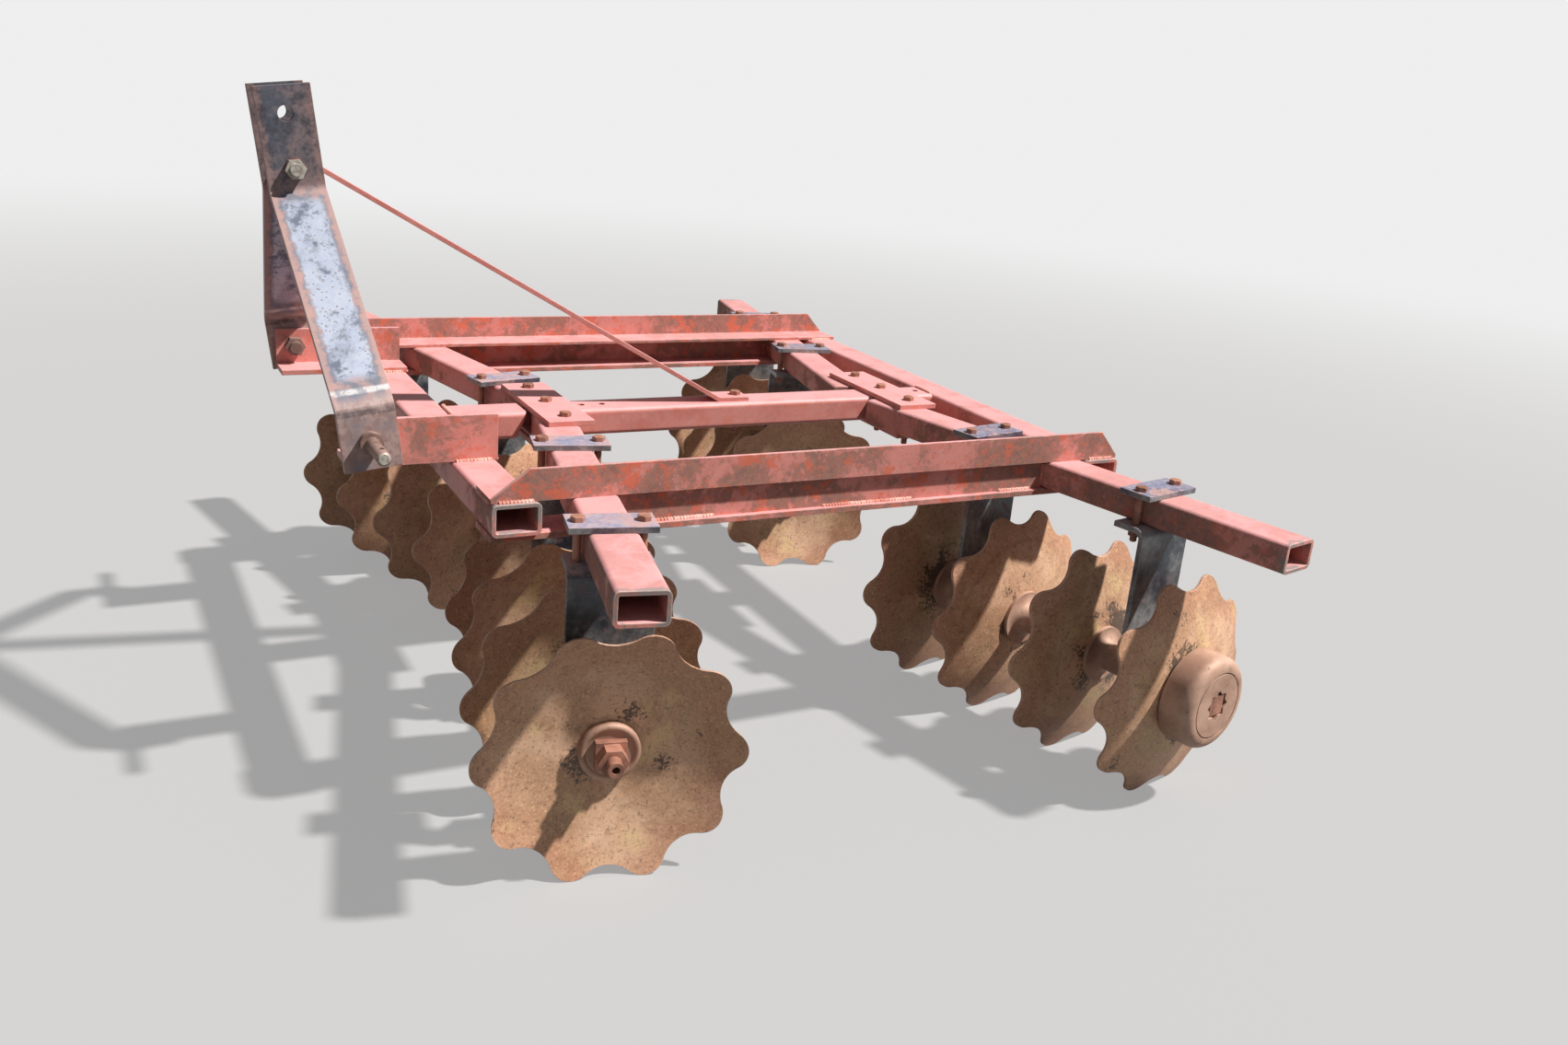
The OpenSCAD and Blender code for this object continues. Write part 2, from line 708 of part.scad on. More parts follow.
// Bumper: a thick round casting with a plate let into its face, holding a square bolt head
module bumper() {
    hole_l = bumper_head_t + bumper_head_sink;
    edge = bumper_d / 2 - bumper_round;
    difference() {
        along_gang() {
            translate([bore_r, 0]) square([edge - bore_r, bumper_l]);
            translate([edge - 1, 0]) square([bumper_round + 1, bumper_l - bumper_round]);
            translate([edge, bumper_l - bumper_round]) circle(bumper_round);
        }
        along_gang() translate([bumper_plate_d / 2, bumper_l - groove_t]) square([groove_w, 2 * groove_t]);
        for (a = [0, 45])
            rotate([0, a, 0]) translate([-bumper_hole / 2, bumper_l - hole_l, -bumper_hole / 2])
                cube([bumper_hole, 2 * hole_l, bumper_hole]);
    }
}

module spools(front, left) {
    first = first_disc(front, left);
    last = last_disc(front, left);
    color(rust) at_gang(front, left) translate([0, 0, axle_z]) {
        translate([0, first + disc_pitch + disc_t, 0]) middle_spool();
        for (gap = bearing_gaps) {
            half_spool(first + gap * disc_pitch + disc_t, bearing_at(front, left, gap));
            half_spool(first + (gap + 1) * disc_pitch, bearing_at(front, left, gap));
        }
        translate([0, front ? last + disc_t : first, 0]) mirror([0, front ? 0 : 1, 0]) end_washer();
        translate([0, front ? first : last + disc_t, 0]) mirror([0, front ? 1 : 0, 0]) bumper();
    }
}

// Axle bolt along +Y from its head in the bumper, over the length between the outer faces
module axle_bolt(l) {
    head_y = bumper_head_sink;
    nut_y = l + lock_t;
    difference() {
        union() {
            translate([-bumper_head / 2, head_y, -bumper_head / 2])
                cube([bumper_head, bumper_head_t, bumper_head]);
            translate([-axle_side / 2, head_y, -axle_side / 2])
                cube([axle_side, l - head_y, axle_side]);
            translate([-lock_side / 2, l - crest_t, -lock_side / 2])
                cube([lock_side, lock_t + crest_t, lock_side]);
            translate([0, nut_y + axle_nut_h, 0]) rotate([90, 0, 0])
                cylinder(d = axle_nut / cos(30), h = axle_nut_h, $fn = 6);
            translate([0, nut_y + axle_nut_h + stud_l, 0]) rotate([90, 0, 0])
                cylinder(d = stud_d, h = stud_l + 1);
        }
        translate([0, nut_y + axle_nut_h + stud_l + 1, 0]) rotate([90, 0, 0])
            cylinder(d = stud_hollow_d, h = stud_hollow_l + 1);
    }
}

module axle(front, left) {
    first = first_disc(front, left);
    last = last_disc(front, left);
    l = bumper_l + (disc_count - 1) * disc_pitch + disc_t + washer_t;
    color(rust) at_gang(front, left)
        translate([0, front ? first - bumper_l : last + disc_t + bumper_l, axle_z])
            mirror([0, front ? 0 : 1, 0]) axle_bolt(l);
}

bracket_y = bracket_span / 2;

// Hitch bracket: an angle whose flat leg lies inboard on the front cross tube
module hitch_bracket(left) {
    x0 = front_x - tube_w / 2;
    l = bracket_front + tube_w / 2;
    color(red) side(left) difference() {
        union() {
            translate([x0, bracket_y - bracket_leg, tube_top]) cube([l, bracket_leg, bracket_t]);
            translate([x0, bracket_y - bracket_t, tube_top]) cube([l, bracket_t, bracket_leg]);
        }
        translate([front_x + pin_x, bracket_y + 1, tube_top + pin_z]) rotate([90, 0, 0])
            cylinder(d = pin_d + pin_play, h = bracket_t + 2);
    }
}

// Mast frame: origin on the lower pins' axis, leaning forward with the bars
module at_mast() {
    translate([front_x + pin_x, 0, tube_top + pin_z]) rotate([0, mast_lean, 0]) children();
}

module mast_bar(left) {
    low_y = bracket_y + mast_t / 2;
    high_y = (mast_gap + mast_t) / 2;
    color(scale_grey) at_mast() side(left) difference() {
        translate([-mast_w / 2, 0, 0]) rotate([90, 0, 90]) linear_extrude(mast_w)
            strip([[low_y, -mast_w / 2], [low_y, lower_bend_z], [high_y, upper_bend_z],
                [high_y, mast_h + mast_w / 2]], mast_t, 2 * mast_t);
        translate([0, 0, mast_h]) rotate([90, 0, 0]) cylinder(d = link_hole, h = 4 * mast_gap, center = true);
        translate([0, low_y + mast_t, 0]) rotate([90, 0, 0]) cylinder(d = pin_d + pin_play, h = 2 * mast_t);
        translate([0, 0, mast_bolt_z]) rotate([90, 0, 0])
            cylinder(d = mast_bolt_d + pin_play, h = 4 * mast_gap, center = true);
    }
}

// Mast bolt with the sleeve that the brace rests on
module mast_bolt() {
    face = mast_gap / 2 + mast_t;
    color(rust) at_mast() translate([0, 0, mast_bolt_z]) rotate([90, 0, 0]) {
        cylinder(d = mast_bolt_d, h = 2 * (face + mast_nut_h + mast_tail), center = true);
        cylinder(d = sleeve_d, h = mast_gap, center = true);
        for (s = [-1, 1])
            translate([0, 0, s * (face + mast_nut_h / 2)])
                cylinder(d = mast_nut / cos(30), h = mast_nut_h, center = true, $fn = 6);
    }
}

module lower_pin(left) {
    face = bracket_y + mast_t;
    back = bracket_y - bracket_t;
    tip = face + collar_l + pin_l;
    color(rust) side(left) translate([front_x + pin_x, 0, tube_top + pin_z]) difference() {
        union() {
            translate([0, tip - pin_chamfer, 0]) rotate([90, 0, 0])
                cylinder(d = pin_d, h = tip - pin_chamfer - back + pin_nut_h + pin_tail);
            translate([0, tip, 0]) rotate([90, 0, 0])
                cylinder(d1 = pin_d - 2 * pin_chamfer, d2 = pin_d, h = pin_chamfer);
            translate([0, face + collar_l, 0]) rotate([90, 0, 0]) cylinder(d = collar_d, h = collar_l);
            translate([0, back, 0]) rotate([90, 0, 0])
                cylinder(d = pin_nut / cos(30), h = pin_nut_h, $fn = 6);
        }
        translate([0, tip - linch_back, 0]) cylinder(d = linch_hole, h = 2 * pin_d, center = true);
    }
}

// Brace: flat on the centre tube, then rising on a line that rests on the mast bolt's sleeve
module mast_brace() {
    brace_w = mast_gap - 2 * brace_play;
    head_x = pin_x + sin(mast_lean) * mast_bolt_z;
    head_z = pin_z + cos(mast_lean) * mast_bolt_z;
    run = norm([head_x + brace_foot_back, joint_y]);
    bend = [brace_bend - run, brace_t / 2];
    rise = atan2(head_z - bend[1], -bend[0]);
    off = (sleeve_d + brace_t + brace_w * sin(rise) * joint_y / run) / 2 + sleeve_gap;
    span = norm([bend[0], head_z - bend[1]]);
    slope = rise + asin(off / span);
    end = bend + (sqrt(span * span - off * off) + brace_reach) * [cos(slope), sin(slope)];
    color(red) translate([front_x + head_x, 0, tube_top]) rotate([0, 0, -asin(joint_y / run)]) difference() {
        translate([0, brace_w / 2, 0]) rotate([90, 0, 0]) linear_extrude(brace_w)
            strip([[-run - brace_end, brace_t / 2], bend, end], brace_t, 2 * brace_t);
        translate([-run, 0, -1]) cylinder(d = bolt_hole, h = 2 * brace_t);
    }
}

front_cross_tube();
rear_cross_tube();
rail_angle(true);  // left_rail_angle
rail_angle(false);  // right_rail_angle
rail_flat(true);  // left_rail_flat
rail_flat(false);  // right_rail_flat
rail_web(true);  // left_rail_web
rail_web(false);  // right_rail_web
centre_tube();
front_stub_tube();
rear_tab();
gang_tube(true, true);  // front_left_gang_tube
gang_tube(true, false);  // front_right_gang_tube
gang_tube(false, true);  // rear_left_gang_tube
gang_tube(false, false);  // rear_right_gang_tube
joint_plates(true);  // front_joint_plates
joint_plates(false);  // rear_joint_plates
clamps(true, true);  // front_left_clamps
clamps(true, false);  // front_right_clamps
clamps(false, true);  // rear_left_clamps
clamps(false, false);  // rear_right_clamps
hangers(true, true);  // front_left_hangers
hangers(true, false);  // front_right_hangers
hangers(false, true);  // rear_left_hangers
hangers(false, false);  // rear_right_hangers
bearings(true, true);  // front_left_bearings
bearings(true, false);  // front_right_bearings
bearings(false, true);  // rear_left_bearings
bearings(false, false);  // rear_right_bearings
hitch_bracket(true);  // left_hitch_bracket
hitch_bracket(false);  // right_hitch_bracket
mast_bar(true);  // left_mast_bar
mast_bar(false);  // right_mast_bar
mast_bolt();
lower_pin(true);  // left_lower_pin
lower_pin(false);  // right_lower_pin
mast_brace();
discs(true, true);  // front_left_discs
discs(true, false);  // front_right_discs
discs(false, true);  // rear_left_discs
discs(false, false);  // rear_right_discs
spools(true, true);  // front_left_spools
spools(true, false);  // front_right_spools
spools(false, true);  // rear_left_spools
spools(false, false);  // rear_right_spools
axle(true, true);  // front_left_axle
axle(true, false);  // front_right_axle
axle(false, true);  // rear_left_axle
axle(false, false);  // rear_right_axle
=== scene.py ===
import json
import math
from random import Random

import bmesh
import bpy
from mathutils import Matrix, Vector


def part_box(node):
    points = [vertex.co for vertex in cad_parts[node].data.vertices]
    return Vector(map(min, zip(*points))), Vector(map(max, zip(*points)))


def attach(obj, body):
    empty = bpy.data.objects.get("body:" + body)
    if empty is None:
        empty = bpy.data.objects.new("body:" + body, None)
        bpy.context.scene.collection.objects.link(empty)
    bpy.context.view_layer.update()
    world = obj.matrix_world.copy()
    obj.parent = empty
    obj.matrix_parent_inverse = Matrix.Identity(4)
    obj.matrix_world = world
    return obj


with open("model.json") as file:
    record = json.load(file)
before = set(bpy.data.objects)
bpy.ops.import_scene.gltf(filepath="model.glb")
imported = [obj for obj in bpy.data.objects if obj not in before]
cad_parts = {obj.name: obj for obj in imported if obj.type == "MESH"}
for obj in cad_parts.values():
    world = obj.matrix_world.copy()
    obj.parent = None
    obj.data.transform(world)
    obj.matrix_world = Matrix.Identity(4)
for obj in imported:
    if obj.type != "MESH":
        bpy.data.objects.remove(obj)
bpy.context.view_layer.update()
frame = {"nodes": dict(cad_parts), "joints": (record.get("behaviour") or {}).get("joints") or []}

print("frame loaded with", len(frame["nodes"]), "nodes")

# Places that everything else hangs on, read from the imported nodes
crossLow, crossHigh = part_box("front_cross_tube")
frontX = (crossLow.x + crossHigh.x) / 2
tubeTop = crossHigh.z
tubeBottom = crossLow.z
up = Vector((0, 0, 1))


def gangPlace(joint):
    point = Vector(joint["pos_m"])
    side = math.copysign(1, point.y)
    out = Vector(joint["axis"]).normalized() * side  # outboard along the axle
    return {
        "origin": point - out * (point.y / out.y),  # where the axle meets the centreline
        "out": out,
        "fore": out.cross(up) * side,  # forward, square to the axle
        "side": side,
    }


gangs = {joint["child"].replace("_gang", ""): gangPlace(joint) for joint in frame["joints"]}


def lumps(node, gang):
    # each loose solid of a node as (low, high) along fore, out and up of its gang
    bm = bmesh.new()
    bm.from_mesh(frame["nodes"][node].data)
    bmesh.ops.remove_doubles(bm, verts=bm.verts, dist=1e-5)
    left = set(bm.verts)
    found = []
    while left:
        edge = [left.pop()]
        group = []
        while edge:
            vert = edge.pop()
            group.append(vert)
            for link in vert.link_edges:
                other = link.other_vert(vert)
                if other in left:
                    left.discard(other)
                    edge.append(other)
        local = []
        for vert in group:
            away = vert.co - gang["origin"]
            local.append((away.dot(gang["fore"]), away.dot(gang["out"]), vert.co.z))
        found.append((Vector(map(min, zip(*local))), Vector(map(max, zip(*local)))))
    bm.free()
    return sorted(found, key=lambda pair: pair[0].y)


def atGang(gang, fore, out, height):
    spot = gang["origin"] + gang["fore"] * fore + gang["out"] * out
    spot.z = height
    return spot


# Camera

cameraSetup = {
    "ahead": 0.5847,  # of the front cross tube
    "left": 2.4186,  # of the centreline
    "above": 0.6440,  # over the tube tops
    "yaw": -0.5128,
    "pitch": -0.3246,
    "roll": 0.0868,
    "sensor": 36,
    "lens": 36 * 1473 / 1703,  # focal length in photo pixels over the photo's width
    "near": 0.05,
    "far": 200,
}


def makeCamera(setup):
    data = bpy.data.cameras.new("camera")
    data.sensor_width = setup["sensor"]
    data.lens = setup["lens"]
    data.clip_start = setup["near"]
    data.clip_end = setup["far"]
    yaw, pitch, roll = setup["yaw"], setup["pitch"], setup["roll"]
    ahead = Vector((math.sin(yaw) * math.cos(pitch), -math.cos(yaw) * math.cos(pitch), math.sin(pitch)))
    right = Vector((-math.cos(yaw), -math.sin(yaw), 0))
    over = right.cross(ahead)
    turnedRight = right * math.cos(roll) + over * math.sin(roll)
    turnedUp = over * math.cos(roll) - right * math.sin(roll)
    camera = bpy.data.objects.new("camera", data)
    place = Matrix((turnedRight, turnedUp, -ahead)).transposed().to_4x4()
    place.translation = (frontX + setup["ahead"], setup["left"], tubeTop + setup["above"])
    camera.matrix_world = place
    bpy.context.scene.collection.objects.link(camera)
    bpy.context.scene.camera = camera


makeCamera(cameraSetup)
print("camera set")


# Finishes: a small helper that strings shader nodes together

class Finish:
    def __init__(self, name):
        self.material = bpy.data.materials.new(name)
        self.material.use_nodes = True
        self.tree = self.material.node_tree
        self.shader = self.tree.nodes["Principled BSDF"]
        self.place = self.tree.nodes.new("ShaderNodeTexCoord").outputs["Object"]
        self.geometry = self.tree.nodes.new("ShaderNodeNewGeometry")

    def feed(self, socket, value):
        if isinstance(value, bpy.types.NodeSocket):
            self.tree.links.new(value, socket)
        elif isinstance(value, (tuple, list)) and len(value) == 3 and socket.type == "RGBA":
            socket.default_value = (*value, 1)
        else:
            socket.default_value = value

    def node(self, kind, inputs, **settings):
        made = self.tree.nodes.new(kind)
        for key, value in settings.items():
            setattr(made, key, value)
        for key, value in inputs.items():
            self.feed(made.inputs[key], value)
        return made

    def maths(self, operation, *values):
        return self.node("ShaderNodeMath", dict(enumerate(values)), operation=operation).outputs[0]

    def times(self, first, second):
        return self.maths("MULTIPLY", first, second)

    def plus(self, first, second):
        return self.maths("ADD", first, second)

    def minus(self, first, second):
        return self.maths("SUBTRACT", first, second)

    def vector(self, operation, *values):
        made = self.node("ShaderNodeVectorMath", dict(enumerate(values)), operation=operation)
        return made.outputs["Value" if operation in ("DOT_PRODUCT", "LENGTH") else "Vector"]

    def shifted(self, shift):
        return self.node("ShaderNodeMapping", {"Vector": self.place, "Location": shift}).outputs[0]

    def noise(self, scale, detail, rough, shift=(0, 0, 0), twist=0):
        inputs = {"Scale": scale, "Detail": detail, "Roughness": rough, "Distortion": twist}
        return self.node("ShaderNodeTexNoise", {"Vector": self.shifted(shift), **inputs}).outputs["Fac"]

    def specks(self, scale, shift=(0, 0, 0)):
        inputs = {"Vector": self.shifted(shift), "Scale": scale}
        return self.node("ShaderNodeTexVoronoi", inputs).outputs["Distance"]

    def step(self, value, low, high, start=0, end=1):
        return self.node(
            "ShaderNodeMapRange",
            {"Value": value, "From Min": low, "From Max": high, "To Min": start, "To Max": end},
            interpolation_type="SMOOTHSTEP",
        ).outputs[0]

    def mix(self, amount, first, second):
        made = self.node("ShaderNodeMix", {0: amount, 6: first, 7: second}, data_type="RGBA")
        return made.outputs[2]

    def normalZ(self):
        return self.node("ShaderNodeSeparateXYZ", {0: self.geometry.outputs["Normal"]}).outputs[2]

    def rounded(self, radius):
        return self.node("ShaderNodeBevel", {"Radius": radius}, samples=4).outputs[0]

    def edges(self, radius, low=0.02, high=0.22):
        # 1 along the piece's sharp outer edges
        bend = self.vector("DOT_PRODUCT", self.rounded(radius), self.geometry.outputs["Normal"])
        return self.step(self.minus(1, bend), low, high)

    def bump(self, height, strength, distance, radius):
        inputs = {"Height": height, "Strength": strength, "Distance": distance}
        inputs["Normal"] = self.rounded(radius)
        self.feed(self.shader.inputs["Normal"], self.node("ShaderNodeBump", inputs).outputs[0])

    def done(self, colour, rough, metal=0.0, specular=0.4):
        self.feed(self.shader.inputs["Base Color"], colour)
        self.feed(self.shader.inputs["Roughness"], rough)
        self.feed(self.shader.inputs["Metallic"], metal)
        self.shader.inputs["Specular IOR Level"].default_value = specular
        return self.material


def tint(red, green, blue):
    # a colour as the eye names it, 0 to 255, to what the shader wants
    shares = (c / 255 for c in (red, green, blue))
    return tuple(c / 12.92 if c < 0.04045 else ((c + 0.055) / 1.055) ** 2.4 for c in shares)


redPaint = {
    "faded": tint(222, 160, 160),  # tops, bleached by the sun
    "side": tint(213, 140, 131),
    "deep": tint(186, 111, 104),  # where more of the paint is left
    "deepTop": tint(206, 138, 138),
    "chalk": tint(228, 172, 164),
    "brown": tint(138, 104, 96),  # weathered down to the rust
    "tan": tint(168, 122, 108),
    "chip": tint(214, 112, 86),
    "spot": tint(104, 84, 80),
    "bare": tint(232, 210, 200),  # knocked edges
    "grey": tint(140, 134, 132),
    "knocked": (-0.016, -0.006),  # where the knocked part starts and is full, from a tube's end
    "lip": (-0.004, -0.001),
}


def paintedRed(name, weathering, chips, shift, ends=(), knocks=1.0):
    # faded red paint; weathering is how much of it has turned to brown, knocks how bright its edges are,
    # and ends are (point, direction) pairs where a tube was cut off and knocked about
    f = Finish(name)
    topness = f.step(f.normalZ(), 0.25, 0.85)
    broad = f.noise(3.4, 5, 0.6, shift=shift)
    patch = f.noise(15, 8, 0.72, shift=shift, twist=0.3)
    fine = f.noise(78, 8, 0.76, shift=shift)
    grain = f.noise(290, 3, 0.65, shift=shift)
    tone = f.mix(topness, redPaint["side"], redPaint["faded"])
    deep = f.mix(topness, redPaint["deep"], redPaint["deepTop"])
    tone = f.mix(f.step(patch, 0.42, 0.66, 0, 0.55), tone, deep)
    tone = f.mix(f.step(fine, 0.48, 0.72, 0, 0.35), tone, redPaint["chalk"])
    worn = f.plus(f.times(broad, 0.4), f.times(patch, 0.35))
    worn = f.plus(worn, f.times(fine, 0.25))
    level = 0.585 - 0.12 * weathering
    brown = f.step(worn, level, level + 0.055)
    brown = f.times(brown, f.step(topness, 0, 1, 0.95, 0.3))
    tone = f.mix(brown, tone, f.mix(f.step(fine, 0.38, 0.62), redPaint["brown"], redPaint["tan"]))
    flake = f.step(f.noise(150, 5, 0.72, shift=shift), 0.60 - 0.04 * chips, 0.66 - 0.04 * chips)
    tone = f.mix(f.times(flake, f.step(topness, 0, 1, 0.55, 0.25)), tone, redPaint["chip"])
    turned = (shift[1], shift[2], shift[0] + 3)
    islands = f.step(f.noise(26, 7, 0.74, shift=turned), 0.54, 0.58, 0, 0.7 * chips)
    tone = f.mix(f.times(islands, f.step(topness, 0, 1, 1, 0)), tone, redPaint["chip"])
    spots = f.step(f.specks(95, shift), 0.15, 0.05)
    spots = f.times(spots, f.step(f.noise(9, 2, 0.5, shift=shift), 0.5, 0.7))
    tone = f.mix(f.times(spots, 0.7), tone, redPaint["spot"])
    edge = f.times(f.edges(0.0035), f.step(f.noise(38, 4, 0.7, shift=shift), 0.42, 0.62))
    tone = f.mix(f.times(edge, 0.6 * knocks), tone, redPaint["bare"])
    rub = f.times(f.edges(0.006), f.step(f.noise(16, 4, 0.7, shift=shift), 0.55, 0.7))
    tone = f.mix(f.times(rub, 0.6 * knocks), tone, redPaint["grey"])
    if ends:
        near = None
        for point, direction in ends:
            away = f.vector("SUBTRACT", f.place, tuple(point))
            beyond = f.vector("DOT_PRODUCT", away, tuple(direction))
            near = f.maths("MAXIMUM", near, beyond) if near else beyond
        ragged = f.plus(near, f.times(f.minus(fine, 0.5), 0.03))
        knocked = f.times(f.step(ragged, *redPaint["knocked"]), f.step(patch, 0.44, 0.54))
        tone = f.mix(f.times(knocked, 0.85), tone, redPaint["grey"])
        lip = f.times(f.step(near, *redPaint["lip"]), f.edges(0.003, 0.01, 0.15))
        tone = f.mix(f.times(lip, f.step(fine, 0.3, 0.6, 0.35, 0.9)), tone, redPaint["bare"])
    height = f.plus(f.times(fine, 0.6), f.times(brown, -0.35))
    height = f.plus(height, f.times(grain, 0.25))
    f.bump(height, 0.35, 0.0012, radius=0.0016)
    return f.done(tone, f.step(brown, 0, 1, 0.5, 0.8))


def gangTubePaint(name, gang):
    # the tube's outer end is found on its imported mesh
    low, high = lumps(name + "_gang_tube", gang)[0]
    end = (atGang(gang, 0, high.y, tubeTop), gang["out"])
    shift = (high.y * 7, 3 * gang["side"], gang["origin"].x)
    return paintedRed(name + "_gang_tube_red", 0.85, 0.5, shift, (end,))


tubePaint = paintedRed("faded_red_tubes", 0.25, 0.4, (0, 0, 0))
bracePaint = paintedRed("rusty_red_brace", 0.0, 0.1, (2, 6, 1), knocks=0.0)
crossEnds = ((crossHigh, (0, 1, 0)), (crossLow, (0, -1, 0)))
crossPaint = paintedRed("faded_red_cross_tubes", 0.55, 0.6, (5, 1, 2), crossEnds)
railPaint = paintedRed("weathered_red_rails", 0.95, 1.2, (3.1, 1.7, 0.4))
bracketPaint = paintedRed("weathered_red_brackets", 0.6, 1.0, (7.3, 2.2, 1.1))


blackPlate = {
    "worn": tint(160, 164, 164),
    "wornDark": tint(112, 114, 116),
    "dustShade": tint(136, 142, 172),  # dust, partly blue with a painted sky reflection
    "dustSpeck": tint(210, 196, 200),
    "rust": tint(190, 146, 134),
    "dent": tint(64, 58, 62),
    "edge": tint(206, 184, 178),
}


def blackPlateFinish(name, shade, dust, dusty):
    # worn black paint; dust settles on what faces up, and there a painted sky reflection tints part of it
    # blue
    f = Finish(name)
    broad = f.noise(16, 7, 0.68, twist=0.4)
    fine = f.noise(90, 7, 0.74)
    topness = f.step(f.normalZ(), 0.2, 0.9)
    tone = f.mix(f.step(fine, 0.35, 0.7), tint(*shade), tint(*(c + 30 for c in shade)))
    worn = f.step(f.noise(8, 6, 0.65, shift=(2, 5, 1)), 0.40, 0.60, 0, 0.85)
    tone = f.mix(worn, tone, f.mix(f.step(fine, 0.4, 0.65), blackPlate["worn"], blackPlate["wornDark"]))
    # up-facing dust, half of it blue as a painted reflection of the sky
    top = f.mix(f.step(broad, 0.38, 0.62), blackPlate["dustShade"], tint(*dust))
    settled = f.times(topness, dusty)
    tone = f.mix(settled, tone, f.mix(f.step(fine, 0.4, 0.62, 0, 0.5), top, blackPlate["dustSpeck"]))
    rust = f.step(f.plus(f.times(broad, 0.6), f.times(fine, 0.4)), 0.515, 0.60)
    tone = f.mix(f.times(rust, f.step(topness, 0, 1, 0.3, 0.8)), tone, blackPlate["rust"])
    dents = f.times(f.step(f.specks(110), 0.2, 0.08), f.step(broad, 0.5, 0.6))
    tone = f.mix(f.times(dents, 0.7), tone, blackPlate["dent"])
    edge = f.times(f.edges(0.003), f.step(fine, 0.35, 0.6))
    tone = f.mix(f.times(edge, 0.7), tone, blackPlate["edge"])
    f.bump(f.plus(fine, f.times(rust, -0.5)), 0.35, 0.001, radius=0.0014)
    return f.done(tone, f.step(rust, 0, 1, 0.36, 0.7), 0.1, 0.6)


grease = {"black": tint(34, 30, 29), "soil": tint(58, 46, 40), "speck": tint(96, 74, 60)}


def greasyCasting():
    f = Finish("greasy_black_casting")
    broad = f.noise(18, 5, 0.6)
    fine = f.noise(110, 5, 0.7)
    tone = f.mix(f.step(broad, 0.4, 0.65), grease["black"], grease["soil"])
    tone = f.mix(f.step(fine, 0.6, 0.72, 0, 0.6), tone, grease["speck"])
    f.bump(f.plus(fine, broad), 0.5, 0.0015, radius=0.002)
    return f.done(tone, f.step(broad, 0.3, 0.7, 0.5, 0.8), 0, 0.5)


steel = {
    "pit": tint(70, 48, 40),
    "edge": tint(206, 176, 164),
    "clean": tint(192, 186, 176),
    "cleanDark": tint(146, 140, 130),
}


def rustySteel(name, light, dark, scale, rough, greyFrom=None):
    # greyFrom is how far out from the centreline the clean grey end starts
    f = Finish(name)
    broad = f.noise(scale * 0.35, 5, 0.6)
    fine = f.noise(scale * 2.2, 5, 0.7)
    tone = f.mix(f.step(broad, 0.35, 0.68), light, dark)
    tone = f.mix(f.step(fine, 0.58, 0.7, 0, 0.5), tone, steel["pit"])
    edge = f.times(f.edges(0.0015), f.step(fine, 0.4, 0.6, 0, 0.65))
    tone = f.mix(edge, tone, steel["edge"])
    if greyFrom:
        outward = f.maths("ABSOLUTE", f.node("ShaderNodeSeparateXYZ", {0: f.place}).outputs[1])
        clean = f.step(f.plus(outward, f.times(fine, 0.004)), greyFrom, greyFrom + 0.003)
        tone = f.mix(clean, tone, f.mix(f.step(fine, 0.4, 0.65), steel["clean"], steel["cleanDark"]))
    f.bump(fine, 0.35, 0.0008, radius=0.0009)
    return f.done(tone, rough, 0.15)


discWear = {
    "brown": tint(190, 149, 118),
    "pink": tint(228, 188, 157),
    "olive": tint(184, 168, 120),
    "ochre": tint(230, 200, 148),
    "red": tint(186, 130, 104),
    "ring": tint(156, 112, 86),
    "stain": tint(146, 104, 80),
    "bright": tint(220, 164, 124),
    "grit": tint(238, 190, 150),
    "pit": tint(112, 82, 64),
    "dark": tint(66, 58, 54),
    "rim": tint(226, 216, 208),
    "band": (0.115, 0.175),  # radii where the redder outer band starts and is full
    "hub": (0.125, 0.06),
    "edge": (0.165, 0.178),
}


